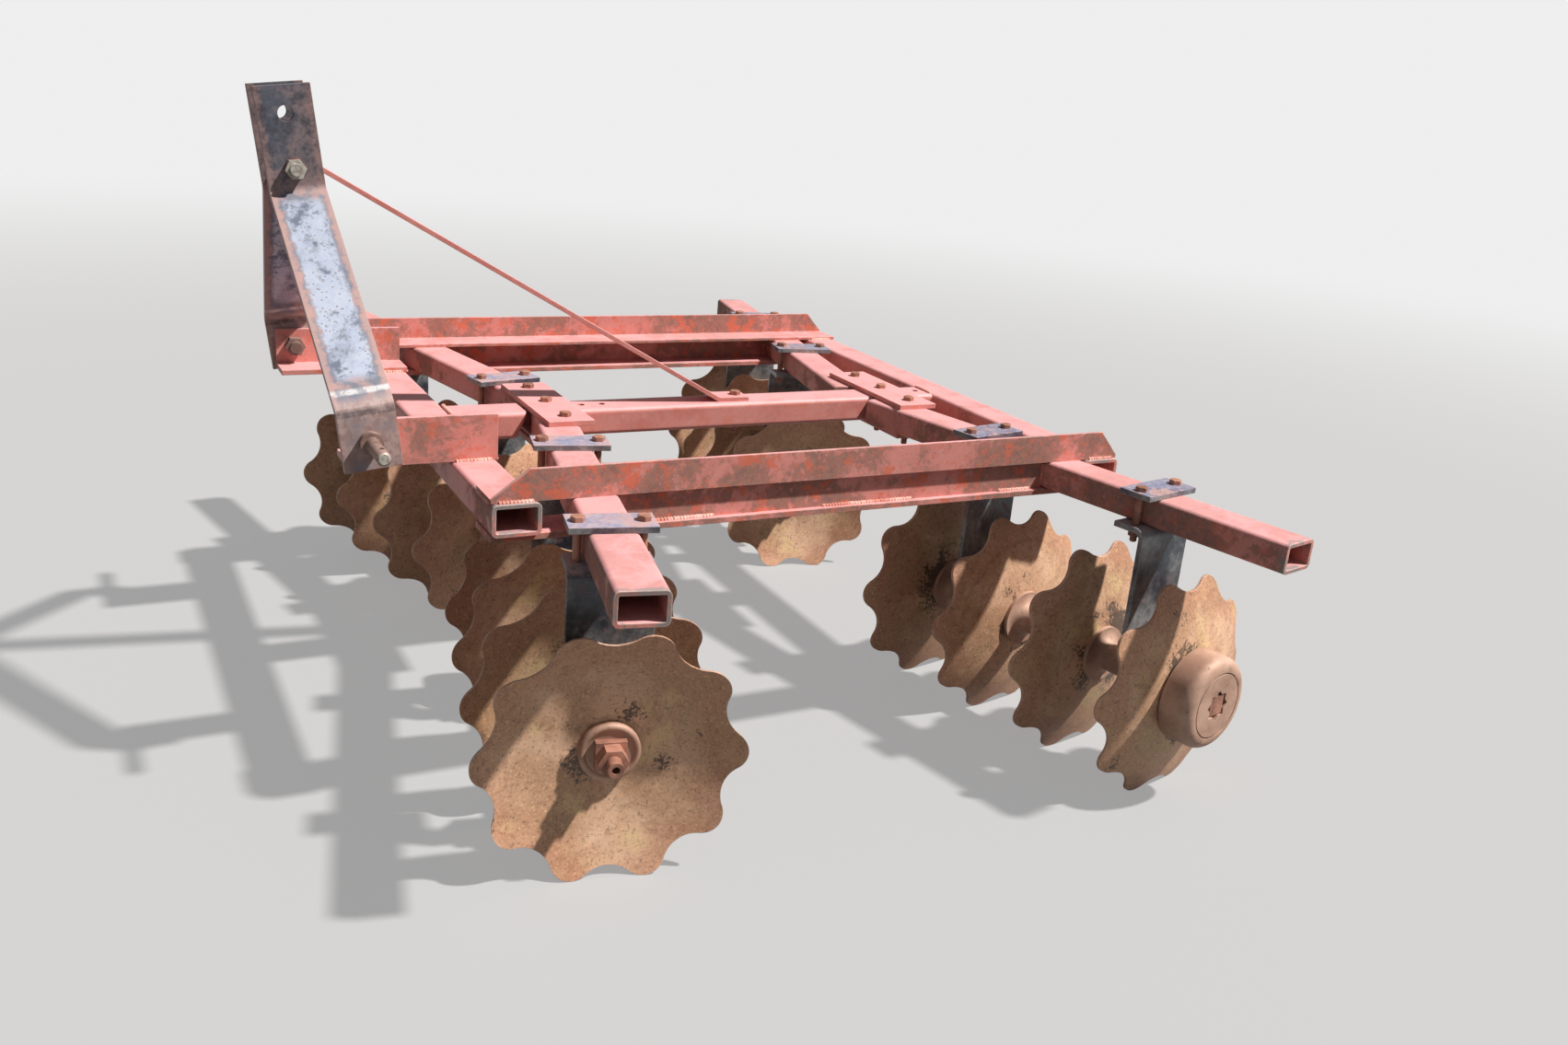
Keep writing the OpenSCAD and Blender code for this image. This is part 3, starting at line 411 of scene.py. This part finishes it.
def discFinish(name, gang, shift, crusted):
    # rust that changes from the hub out to the scoured rim; crusted is how far black crust covers the hub
    f = Finish(name)
    away = f.vector("SUBTRACT", f.place, tuple(gang["origin"]))
    along = f.vector("DOT_PRODUCT", away, tuple(gang["out"]))
    inputs = {0: tuple(gang["out"]), "Scale": along}
    axis = f.node("ShaderNodeVectorMath", inputs, operation="SCALE").outputs[0]
    radius = f.vector("LENGTH", f.vector("SUBTRACT", away, axis))
    broad = f.noise(9, 6, 0.62, shift=shift, twist=0.6)
    other = f.noise(6, 5, 0.6, shift=(shift[0] + 4, shift[1], shift[2]), twist=0.4)
    fine = f.noise(75, 6, 0.7, shift=shift)
    grit = f.noise(240, 4, 0.7, shift=shift)
    inputs = {0: f.times(radius, 140), 1: f.times(broad, 5), 2: f.times(along, 9)}
    rings = f.node("ShaderNodeCombineXYZ", inputs).outputs[0]
    inputs = {"Vector": rings, "Scale": 1, "Detail": 4, "Roughness": 0.7}
    scour = f.node("ShaderNodeTexNoise", inputs).outputs["Fac"]
    tone = f.mix(f.step(broad, 0.38, 0.66), discWear["brown"], discWear["pink"])
    tone = f.mix(f.step(other, 0.50, 0.66, 0, 0.65), tone, discWear["olive"])
    soil = f.noise(13, 5, 0.6, shift=(shift[0], 9, 2))
    tone = f.mix(f.step(soil, 0.54, 0.68, 0, 0.65), tone, discWear["ochre"])
    outer = f.plus(radius, f.times(f.minus(other, 0.5), 0.22))
    tone = f.mix(f.step(outer, *discWear["band"], 0, 0.55), tone, discWear["red"])
    tone = f.mix(f.step(scour, 0.50, 0.70, 0, 0.35), tone, discWear["ring"])
    tone = f.mix(f.step(fine, 0.52, 0.68, 0, 0.5), tone, discWear["stain"])
    tone = f.mix(f.step(fine, 0.44, 0.34, 0, 0.5), tone, discWear["bright"])
    tone = f.mix(f.step(grit, 0.56, 0.66, 0, 0.7), tone, discWear["grit"])
    tone = f.mix(f.step(grit, 0.44, 0.34, 0, 0.7), tone, discWear["pit"])
    hub = f.step(radius, *discWear["hub"])
    grain = f.noise(190, 6, 0.7, shift=(shift[2], shift[0], 3))
    patch = f.minus(f.noise(15, 4, 0.55, shift=shift), 0.5)
    crust = f.plus(grain, f.times(patch, 1.5))
    crust = f.plus(crust, f.times(hub, crusted))
    tone = f.mix(f.step(crust, 0.82, 0.90, 0, 0.85), tone, discWear["dark"])
    rim = f.times(f.edges(0.0022), f.step(radius, *discWear["edge"]))
    tone = f.mix(f.times(rim, f.step(broad, 0.35, 0.6, 0.25, 0.9)), tone, discWear["rim"])
    height = f.plus(f.times(fine, 0.7), f.times(grit, 0.4))
    height = f.plus(height, f.times(scour, 0.4))
    f.bump(height, 0.4, 0.0009, radius=0.0012)
    return f.done(tone, f.step(broad, 0.3, 0.7, 0.42, 0.66), 0.1, 0.45)


mastPlate = {
    "scale": tint(100, 108, 126),  # blue-grey mill scale
    "scaleGrey": tint(118, 118, 128),
    "white": tint(182, 188, 204),  # pale worn patches
    "whiteBlue": tint(166, 176, 198),
    "whiteGrey": tint(134, 142, 160),
    "rust": tint(178, 144, 138),
    "footRust": tint(198, 172, 164),
    "footDark": tint(160, 132, 126),
    "crease": tint(206, 204, 206),
    "pit": tint(110, 92, 92),
    "edge": tint(176, 150, 140),
    "dark": tint(62, 58, 62),
    # heights over the lower pins where each mark starts and is full
    "windowFrom": (0.085, 0.10),
    "windowTo": (0.335, 0.32),
    "headRust": (0.335, 0.37),
    "headDark": (0.335, 0.36),
    "foot": (0.075, 0.055),
    "creaseFrom": (0.071, 0.074),
    "creaseTo": (0.081, 0.078),
    "bandFrom": (0.040, 0.046),
    "bandTo": (0.058, 0.050),
    # and distances from the bar's middle line
    "inner": (0.034, 0.027),
    "side": (0.030, 0.040),
}


def mastFinish():
    f = Finish("mast_mill_scale")
    lowBox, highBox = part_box("left_mast_bar")
    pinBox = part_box("left_lower_pin")
    pin = (pinBox[0] + pinBox[1]) / 2
    lean = math.atan2((lowBox.x + highBox.x) / 2 - pin.x, (highBox.z + lowBox.z) / 2 - pin.z)
    away = f.vector("SUBTRACT", f.place, (pin.x, 0, pin.z))
    climb = f.vector("DOT_PRODUCT", away, (math.sin(lean), 0, math.cos(lean)))
    across = f.maths("ABSOLUTE", f.vector("DOT_PRODUCT", away, (math.cos(lean), 0, -math.sin(lean))))
    broad = f.noise(12, 6, 0.65, twist=0.5)
    fine = f.noise(60, 6, 0.72)
    ragged = f.times(f.minus(fine, 0.5), 0.03)
    inner = f.step(f.plus(across, ragged), *mastPlate["inner"])
    window = f.times(f.step(climb, *mastPlate["windowFrom"]), f.step(climb, *mastPlate["windowTo"]))
    cover = f.plus(f.times(broad, 0.6), f.times(fine, 0.4))
    patch = f.times(f.times(inner, window), f.step(cover, 0.40, 0.50))
    tone = f.mix(f.step(broad, 0.35, 0.65), mastPlate["scale"], mastPlate["scaleGrey"])
    rusty = f.step(f.plus(f.times(broad, 0.5), f.times(fine, 0.5)), 0.47, 0.6)
    rusty = f.times(rusty, f.step(climb, *mastPlate["headRust"], 1, 0.6))
    tone = f.mix(f.times(rusty, 0.75), tone, mastPlate["rust"])
    side = f.step(f.plus(across, ragged), *mastPlate["side"], 0, 0.8)
    tone = f.mix(side, tone, mastPlate["rust"])
    head = f.times(f.step(climb, *mastPlate["headDark"]), f.step(fine, 0.3, 0.62, 0.85, 0.25))
    tone = f.mix(head, tone, mastPlate["dark"])
    pale = f.mix(f.step(fine, 0.4, 0.7), mastPlate["white"], mastPlate["whiteBlue"])
    bare = f.step(f.noise(9, 5, 0.65, shift=(4, 0, 2)), 0.52, 0.60, 0, 0.6)
    pale = f.mix(bare, pale, mastPlate["whiteGrey"])
    tone = f.mix(patch, tone, pale)
    foot = f.times(f.step(climb, *mastPlate["foot"]), f.step(cover, 0.38, 0.52, 0.35, 0.9))
    tone = f.mix(foot, tone, f.mix(f.step(fine, 0.4, 0.62), mastPlate["footRust"], mastPlate["footDark"]))
    crease = f.times(f.step(climb, *mastPlate["creaseFrom"]), f.step(climb, *mastPlate["creaseTo"]))
    tone = f.mix(f.times(crease, f.step(fine, 0.4, 0.55, 0.3, 0.9)), tone, mastPlate["crease"])
    band = f.times(f.step(climb, *mastPlate["bandFrom"]), f.step(climb, *mastPlate["bandTo"]))
    tone = f.mix(f.times(band, f.step(fine, 0.35, 0.6, 0.3, 0.7)), tone, mastPlate["dark"])
    pits = f.times(patch, f.step(f.specks(130), 0.25, 0.1))
    tone = f.mix(f.times(pits, 0.8), tone, mastPlate["pit"])
    tone = f.mix(f.times(f.edges(0.002), 0.4), tone, mastPlate["edge"])
    f.bump(f.plus(fine, f.times(patch, 0.35)), 0.3, 0.001, radius=0.0014)
    return f.done(tone, f.step(patch, 0, 1, 0.62, 0.42), 0.2, 0.5)


finishes = {
    "clamp": blackPlateFinish("worn_black_clamps", (60, 62, 74), (196, 164, 168), 0.95),
    "rearClamp": blackPlateFinish("worn_navy_clamps", (52, 52, 74), (124, 116, 142), 0.8),
    "black": blackPlateFinish("worn_black_hangers", (34, 40, 50), (176, 150, 150), 0.7),
    "grease": greasyCasting(),
    "casting": rustySteel("rusty_castings", tint(198, 162, 142), tint(162, 126, 107), 36, 0.62),
    "bolt": rustySteel("rusty_bolts", tint(186, 132, 112), tint(136, 94, 78), 90, 0.55),
    "pin": rustySteel("brown_forged_pins", tint(166, 136, 126), tint(120, 96, 88), 60, 0.5,
                      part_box("left_lower_pin")[1].y - 0.001),
    "mastBolt": rustySteel("mast_bolt_steel", tint(196, 130, 92), tint(150, 92, 64), 60, 0.5,
                           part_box("mast_bolt")[1].y - 0.014),
    "weld": rustySteel("painted_weld_beads", tint(228, 180, 168), tint(192, 120, 106), 50, 0.6),
    "mast": mastFinish(),
}

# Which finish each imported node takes, by the first of these words that its name holds
nodeFinishes = {
    "rail": railPaint,
    "bracket": bracketPaint,
    "brace": bracePaint,
    "tab": tubePaint,
    "cross_tube": crossPaint,
    "tube": tubePaint,
    "joint_plates": tubePaint,
    "rear_left_clamps": finishes["rearClamp"],
    "rear_right_clamps": finishes["rearClamp"],
    "clamps": finishes["clamp"],
    "hangers": finishes["black"],
    "bearings": finishes["grease"],
    "mast_bar": finishes["mast"],
    "mast_bolt": finishes["mastBolt"],
    "lower_pin": finishes["pin"],
    "spools": finishes["casting"],
    "axle": finishes["bolt"],
}
crustCover = {"front": 0.24, "rear": 0.34}  # how far the black crust covers the discs' hubs


def dress(name, finish):
    materials = frame["nodes"][name].data.materials
    materials.clear()
    materials.append(finish)


def dressNodes():
    for index, (name, gang) in enumerate(sorted(gangs.items())):
        shift = (index * 2.7, index * 1.3, 0)
        crusted = crustCover[name.split("_")[0]]
        dress(name + "_discs", discFinish(name + "_disc_rust", gang, shift, crusted))
        dress(name + "_gang_tube", gangTubePaint(name, gang))
    for name in frame["nodes"]:
        if not name.endswith(("_discs", "_gang_tube")):
            dress(name, next(made for word, made in nodeFinishes.items() if word in name))


dressNodes()
print("packed nodes dressed")


# Mesh makers for the small pieces

def turnsOf(steps):
    return [2 * math.pi * k / steps for k in range(steps)]


def join(bm, rings):
    # faces between each ring of points and the next; a ring of one point is a tip
    for low, high in zip(rings, rings[1:]):
        for k in range(max(len(low), len(high))):
            n = k + 1
            corners = (low[k % len(low)], low[n % len(low)], high[n % len(high)], high[k % len(high)])
            bm.faces.new(list(dict.fromkeys(corners)))


def lathe(bm, profile, place, steps):
    # revolves (radius, height) points about the place's Z axis
    rings = []
    for radius, height in profile:
        spots = [(radius * math.cos(a), radius * math.sin(a), height) for a in turnsOf(steps)]
        if not radius:
            spots = [(0, 0, height)]
        rings.append([bm.verts.new(place @ Vector(spot)) for spot in spots])
    join(bm, rings)


def hexRadius(angle, flats):
    return flats / 2 / math.cos((angle % (math.pi / 3)) - math.pi / 6)


hexShape = {
    "steps": 36,
    "face": 0.93,  # round top face, as a share of the flats
    "inner": 0.9,
    "slope": 0.55,  # of the chamfer on the corners
    "boreDepth": 0.3,  # as a share of a nut's height
}


def hexagon(bm, flats, height, place, bore=0):
    # hexagon head or nut with chamfered corners, standing on the place's XY plane
    face = flats / 2 * hexShape["face"]
    rings = []

    def corner(a):
        return hexRadius(a, flats)

    def shoulder(a):
        return height - (corner(a) - face) * hexShape["slope"]

    def ring(radiusAt, heightAt):
        rings.append([])
        for a in turnsOf(hexShape["steps"]):
            radius = radiusAt(a)
            spot = Vector((radius * math.cos(a), radius * math.sin(a), heightAt(a)))
            rings[-1].append(bm.verts.new(place @ spot))

    if bore:
        ring(lambda a: bore / 2, lambda a: height * hexShape["boreDepth"])
        ring(lambda a: bore / 2, lambda a: 0)
    ring(corner, lambda a: 0)
    ring(corner, shoulder)
    ring(lambda a: face, lambda a: height)
    ring(lambda a: face * hexShape["inner"], lambda a: height)
    join(bm, rings)
    if not bore:
        bm.faces.new(list(reversed(rings[0])))
    bm.faces.new(rings[-1])


threadShape = {
    "pitch": 0.0018,
    "root": 0.9,  # these three as shares of the shank's radius
    "last": 0.88,
    "tip": 0.7,
    "chamfer": 0.0012,
}


def threadProfile(radius, start, end):
    # a row of close ridges that ends in a small chamfer
    points = []
    count = max(2, int((end - start) / threadShape["pitch"]))
    for k in range(count):
        z = start + (end - start) * k / count
        points += [(radius * threadShape["root"], z), (radius, z + (end - start) / count / 2)]
    tip = end + threadShape["chamfer"]
    return points + [(radius * threadShape["last"], end), (radius * threadShape["tip"], tip), (0, tip)]


beadShape = {
    "sides": 8,
    "step": 0.45,  # between rings, as a share of the bead's size
    "wave": 0.16,
    "waveTurn": 2.1,
    "wander": 0.1,
    "tip": 0.35,  # the first and last ring, as a share of the rest
}


def weldBead(bm, start, end, size, seed):
    # a laid bead: round rings whose size ripples along the run
    rng = Random(seed)
    start, end = Vector(start), Vector(end)
    run = end - start
    along = run.normalized()
    side = along.orthogonal().normalized()
    over = along.cross(side)
    count = max(6, int(run.length / (size * beadShape["step"])))
    rings = []
    for k in range(count + 1):
        ripple = 1 + beadShape["wave"] * math.sin(k * beadShape["waveTurn"])
        ripple += rng.uniform(-beadShape["wander"], beadShape["wander"])
        if k in (0, count):
            ripple *= beadShape["tip"]
        centre = start + run * (k / count)
        rings.append([
            bm.verts.new(centre + (side * math.cos(a) + over * math.sin(a)) * size * ripple)
            for a in turnsOf(beadShape["sides"])
        ])
    join(bm, rings)
    bm.faces.new(list(reversed(rings[0])))
    bm.faces.new(rings[-1])


sharpEdge = 32  # degrees between faces above which an edge is shaded sharp


def finishPiece(name, bm, finish):
    # every added piece is bolted or welded to the frame
    bmesh.ops.recalc_face_normals(bm, faces=bm.faces)
    mesh = bpy.data.meshes.new(name)
    bm.to_mesh(mesh)
    bm.free()
    mesh.shade_smooth()
    mesh.set_sharp_from_angle(angle=math.radians(sharpEdge))
    mesh.materials.append(finish)
    piece = bpy.data.objects.new(name, mesh)
    bpy.context.scene.collection.objects.link(piece)
    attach(piece, "frame")


def upright(spot, turn=0):
    return Matrix.Translation(spot) @ Matrix.Rotation(turn, 4, "Z")


def hanging(spot, turn=0):
    return Matrix.Translation(spot) @ Matrix.Rotation(math.pi, 4, "X") @ Matrix.Rotation(turn, 4, "Z")


# All the bolts are half inch

halfInch = {
    "shank": 0.0127,
    "flats": 0.019,
    "head": 0.0082,
    "nut": 0.0108,
    "threadFrom": 0.004,  # inside the nut
    "steps": 20,
}


def boltHead(bm, place):
    hexagon(bm, halfInch["flats"], halfInch["head"], place)


def nutAndThread(bm, place, tail):
    # tail is how far the thread stands out of the nut
    hexagon(bm, halfInch["flats"], halfInch["nut"], place, bore=halfInch["shank"])
    thread = threadProfile(halfInch["shank"] / 2, halfInch["threadFrom"], halfInch["nut"] + tail)
    lathe(bm, [(0, halfInch["threadFrom"])] + thread, place, halfInch["steps"])


# Bolts that hold clamp plate and hanger round a gang tube

clampBolt = {
    "spread": 0.096,  # between the two bolts of a clamp
    "tail": 0.009,
    "hangerPlate": 0.0095,
    "sunk": 0.002,  # how far the shank runs into the clamp
    "below": 0.001,  # and into the nut
}


def clampBolts(name, gang):
    rng = Random(name)
    bm = bmesh.new()
    grip = tubeBottom - clampBolt["hangerPlate"]
    shank = halfInch["shank"] / 2
    for low, high in lumps(name + "_clamps", gang):
        for way in (-1, 1):
            spot = atGang(gang, way * clampBolt["spread"] / 2, (low.y + high.y) / 2, high.z)
            boltHead(bm, upright(spot, rng.uniform(0, 1)))
            length = low.z - grip + clampBolt["below"]
            place = hanging((spot.x, spot.y, low.z + clampBolt["sunk"]))
            lathe(bm, [(0, 0), (shank, 0), (shank, length)], place, halfInch["steps"])
            nutAndThread(bm, hanging((spot.x, spot.y, grip), rng.uniform(0, 1)), clampBolt["tail"])
    finishPiece(name + "_clamp_bolts", bm, finishes["bolt"])


for name, gang in sorted(gangs.items()):
    clampBolts(name, gang)
print("clamp bolts in")


# Bolts of the joint plates

jointBolt = {"spacing": 0.109, "tail": 0.012}


def jointBolts(name):
    rng = Random(name)
    low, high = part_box(name + "_joint_plates")
    bm = bmesh.new()
    for k in (-1, 0, 1):
        x, y = (low.x + high.x) / 2, (low.y + high.y) / 2 + k * jointBolt["spacing"]
        boltHead(bm, upright((x, y, high.z), rng.uniform(0, 1)))
        nutAndThread(bm, hanging((x, y, low.z), rng.uniform(0, 1)), jointBolt["tail"])
    finishPiece(name + "_joint_bolts", bm, finishes["bolt"])


jointBolts("front")
jointBolts("rear")
print("joint bolts in")


# Nuts that hold each hanger's foot on its bearing housing

footBolt = {
    "spread": 0.070,
    "back": 0.024,  # from the foot's end
    "tail": 0.007,
    "plate": 0.0095,
    "washer": 0.0138,  # its radius
    "washerPlate": 0.0026,
    "washerEdge": 0.0006,
}


def washerProfile():
    wide, thick, edge = footBolt["washer"], footBolt["washerPlate"], footBolt["washerEdge"]
    side = [(wide - edge / 2, 0), (wide, edge), (wide, thick - edge), (wide - edge, thick)]
    return [(0, 0)] + side + [(0, thick)]


def footBolts(name, gang):
    rng = Random(name + "_foot")
    bm = bmesh.new()
    for low, high in lumps(name + "_hangers", gang):
        row = low.y + footBolt["back"] if name.startswith("front") else high.y - footBolt["back"]
        for way in (-1, 1):
            spot = atGang(gang, way * footBolt["spread"] / 2, row, low.z + footBolt["plate"])
            lathe(bm, washerProfile(), upright(spot), 24)
            spot.z += footBolt["washerPlate"]
            nutAndThread(bm, upright(spot, rng.uniform(0, 1)), footBolt["tail"])
    finishPiece(name + "_foot_nuts", bm, finishes["bolt"])


for name, gang in sorted(gangs.items()):
    footBolts(name, gang)
print("foot nuts in")


# Bolt through the brace's foot and the centre tube

braceBolt = {
    "back": 0.620,  # from the front cross tube
    "plate": 0.008,
    "tail": 0.0082,
    "headTurn": 0.4,
    "nutTurn": 0.2,
}


def braceFootBolt():
    bm = bmesh.new()
    low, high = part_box("centre_tube")
    x, y = frontX - braceBolt["back"], (low.y + high.y) / 2
    boltHead(bm, upright((x, y, tubeTop + braceBolt["plate"]), braceBolt["headTurn"]))
    nutAndThread(bm, hanging((x, y, tubeBottom), braceBolt["nutTurn"]), braceBolt["tail"])
    finishPiece("brace_foot_bolt", bm, finishes["bolt"])


braceFootBolt()
print("brace bolt in")


# Weld beads

weld = {
    "fillet": 0.0042,  # radii of the three sizes of bead
    "small": 0.0032,
    "lump": 0.0065,
    "plateRuns": ((0.04, 0.20), (0.44, 0.66), (0.88, 0.97)),  # shares of the upright plate, from the front
    "crossInset": 0.010,  # from the edges of a cross tube that a run lies across
    "cornerInset": 0.006,  # from the corners of an angle iron or bracket
    "plateInset": 0.004,  # from the tube's top and bottom
    "sunk": 0.001,  # how far a run lies inside the plate's end
    "stubInset": 0.008,
    "wallInset": 0.010,
    "bracketFront": 0.009,
    "under": 0.001,  # how far lumps hang below the tubes
    "lumpFrom": 0.002,  # inwards from the flat bar's outer edge
    "lumpTo": 0.030,
}
rearLow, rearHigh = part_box("rear_cross_tube")


class Welder:
    # lays beads into one mesh, each with the next seed
    def __init__(self, seed):
        self.bm = bmesh.new()
        self.seed = seed

    def bead(self, start, end, size, step=1):
        weldBead(self.bm, start, end, weld[size], self.seed)
        self.seed += step


def railWelds(side, name):
    # the rail angle on both cross tubes, and the flat bar's short welds under the upright plate
    welder = Welder(11 if side > 0 else 29)
    angleLow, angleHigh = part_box(name + "_rail_angle")
    webLow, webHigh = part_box(name + "_rail_web")
    outer = angleHigh.y if side > 0 else angleLow.y
    inner = angleLow.y if side > 0 else angleHigh.y
    inset = weld["crossInset"]
    for low, high in ((crossLow.x, crossHigh.x), (rearLow.x, rearHigh.x)):
        for edge in (outer, inner):
            welder.bead((low + inset, edge, tubeTop), (high - inset, edge, tubeTop), "fillet")
    inset = weld["cornerInset"]
    for end in (angleLow.x, angleHigh.x):
        welder.bead((end, angleLow.y + inset, tubeTop), (end, angleHigh.y - inset, tubeTop), "small")
    face = webHigh.y if side > 0 else webLow.y
    length = webHigh.x - webLow.x
    for start, end in weld["plateRuns"]:
        welder.bead((webHigh.x - end * length, face, tubeBottom),
                    (webHigh.x - start * length, face, tubeBottom), "fillet")
    finishPiece(name + "_rail_welds", welder.bm, finishes["weld"])


def webEndWelds(side, name):
    # up the ends of the upright plate, where it meets the gang tubes, and lumps under the cross tubes
    welder = Welder(47 if side > 0 else 61)
    webLow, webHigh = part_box(name + "_rail_web")
    flatLow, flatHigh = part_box(name + "_rail_flat")
    face = webHigh.y if side > 0 else webLow.y
    outer = flatHigh.y if side > 0 else flatLow.y
    inset = weld["plateInset"]
    for x in (webLow.x + weld["sunk"], webHigh.x - weld["sunk"]):
        welder.bead((x, face, tubeBottom + inset), (x, face, tubeTop - inset), "small")
    z = tubeBottom - weld["under"]
    start, end = outer - side * weld["lumpFrom"], outer - side * weld["lumpTo"]
    for x in (crossLow.x, rearHigh.x):
        welder.bead((x, start, z), (x, end, z), "lump")
    finishPiece(name + "_web_welds", welder.bm, finishes["weld"])


def tubeWelds():
    # short tubes and hitch brackets on the cross tubes
    welder = Welder(83)
    inset = weld["stubInset"]
    wallTop, wallBottom = tubeTop - weld["wallInset"], tubeBottom + weld["wallInset"]
    for node, x in (("front_stub_tube", crossLow.x), ("rear_tab", rearHigh.x)):
        low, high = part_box(node)
        welder.bead((x, low.y + inset, tubeTop), (x, high.y - inset, tubeTop), "fillet")
        for y, step in ((low.y, 0), (high.y, 2)):
            welder.bead((x, y, wallTop), (x, y, wallBottom), "small", step)
    inset = weld["cornerInset"]
    for name, side in (("left", 1), ("right", -1)):
        low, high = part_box(name + "_hitch_bracket")
        outer, inner = (high.y, low.y) if side > 0 else (low.y, high.y)
        start, end = crossLow.x + weld["bracketFront"], crossHigh.x - inset
        for y in (outer, inner):
            welder.bead((start, y, tubeTop), (end, y, tubeTop), "fillet")
        welder.bead((low.x, inner + side * inset, tubeTop), (low.x, outer - side * inset, tubeTop), "small")
    finishPiece("tube_and_bracket_welds", welder.bm, finishes["weld"])


for side, name in ((1, "left"), (-1, "right")):
    railWelds(side, name)
    webEndWelds(side, name)
tubeWelds()
print("welds laid")


# Floor, light and background

stageSetup = {
    "floor": 0.20,  # grey of the floor as the camera sees it
    "floorGlow": 0.32,  # what keeps its shadows pale there
    "bounce": 0.15,  # grey of the floor as it lights the harrow from below
    "backdrop": 0.86,  # what the camera sees beyond it
    "fade": (2.6, 9),  # how far out the floor turns into the backdrop
    "sky": 0.21,  # light from all round
    "skyColour": (0.96, 0.98, 1),
    "sun": 6.0,
    "sunColour": (1, 0.97, 0.93),
    "sunAngle": 2.4,  # degrees, how soft the shadows are
    "sunFrom": (-0.512, 0.289, 0.809),  # from the shadow of the axle's end on the near disc
    "size": 40,
}


def makeFloor(setup):
    bm = bmesh.new()
    half = setup["size"]
    corners = [(-half, -half), (half, -half), (half, half), (-half, half)]
    bm.faces.new([bm.verts.new((x, y, 0)) for x, y in corners])
    mesh = bpy.data.meshes.new("floor")
    bm.to_mesh(mesh)
    bm.free()
    floor = bpy.data.objects.new("floor", mesh)
    bpy.context.scene.collection.objects.link(floor)
    f = Finish("pale_floor")
    path = f.node("ShaderNodeLightPath", {})
    seen = f.maths("MAXIMUM", path.outputs["Is Camera Ray"], path.outputs["Is Glossy Ray"])
    f.done(f.mix(seen, (setup["bounce"],) * 3, (setup["floor"],) * 3), 0.9, 0, 0.1)
    lift = f.node("ShaderNodeEmission", {"Color": (1, 1, 1), "Strength": f.times(seen, setup["floorGlow"])})
    near = f.node("ShaderNodeAddShader", {0: f.shader.outputs[0], 1: lift.outputs[0]})
    glow = f.node("ShaderNodeEmission", {"Color": (setup["backdrop"],) * 3, "Strength": seen})
    blend = f.node("ShaderNodeMixShader", {0: f.step(f.vector("LENGTH", f.place), *setup["fade"])})
    f.tree.links.new(near.outputs[0], blend.inputs[1])
    f.tree.links.new(glow.outputs[0], blend.inputs[2])
    f.tree.links.new(blend.outputs[0], f.tree.nodes["Material Output"].inputs["Surface"])
    mesh.materials.append(f.material)


def makeSky(setup):
    world = bpy.data.worlds.new("studio")
    bpy.context.scene.world = world
    world.use_nodes = True
    tree = world.node_tree
    lit = tree.nodes["Background"]
    lit.inputs["Color"].default_value = (*setup["skyColour"], 1)
    lit.inputs["Strength"].default_value = setup["sky"]
    seen = tree.nodes.new("ShaderNodeBackground")
    seen.inputs["Color"].default_value = (setup["backdrop"],) * 3 + (1,)
    path = tree.nodes.new("ShaderNodeLightPath")
    either = tree.nodes.new("ShaderNodeMath")
    either.operation = "MAXIMUM"
    mixed = tree.nodes.new("ShaderNodeMixShader")
    tree.links.new(path.outputs["Is Camera Ray"], either.inputs[0])
    tree.links.new(path.outputs["Is Transmission Ray"], either.inputs[1])
    tree.links.new(either.outputs[0], mixed.inputs[0])
    tree.links.new(lit.outputs[0], mixed.inputs[1])
    tree.links.new(seen.outputs[0], mixed.inputs[2])
    tree.links.new(mixed.outputs[0], tree.nodes["World Output"].inputs["Surface"])


def makeSun(setup):
    sun = bpy.data.lights.new("sun", "SUN")
    sun.energy = setup["sun"]
    sun.angle = math.radians(setup["sunAngle"])
    sun.color = setup["sunColour"]
    lamp = bpy.data.objects.new("sun", sun)
    lamp.rotation_mode = "QUATERNION"
    lamp.rotation_quaternion = (-Vector(setup["sunFrom"])).to_track_quat("-Z", "Y")
    bpy.context.scene.collection.objects.link(lamp)


makeFloor(stageSetup)
makeSky(stageSetup)
makeSun(stageSetup)
bpy.context.scene.view_settings.view_transform = "Standard"
print("stage set")
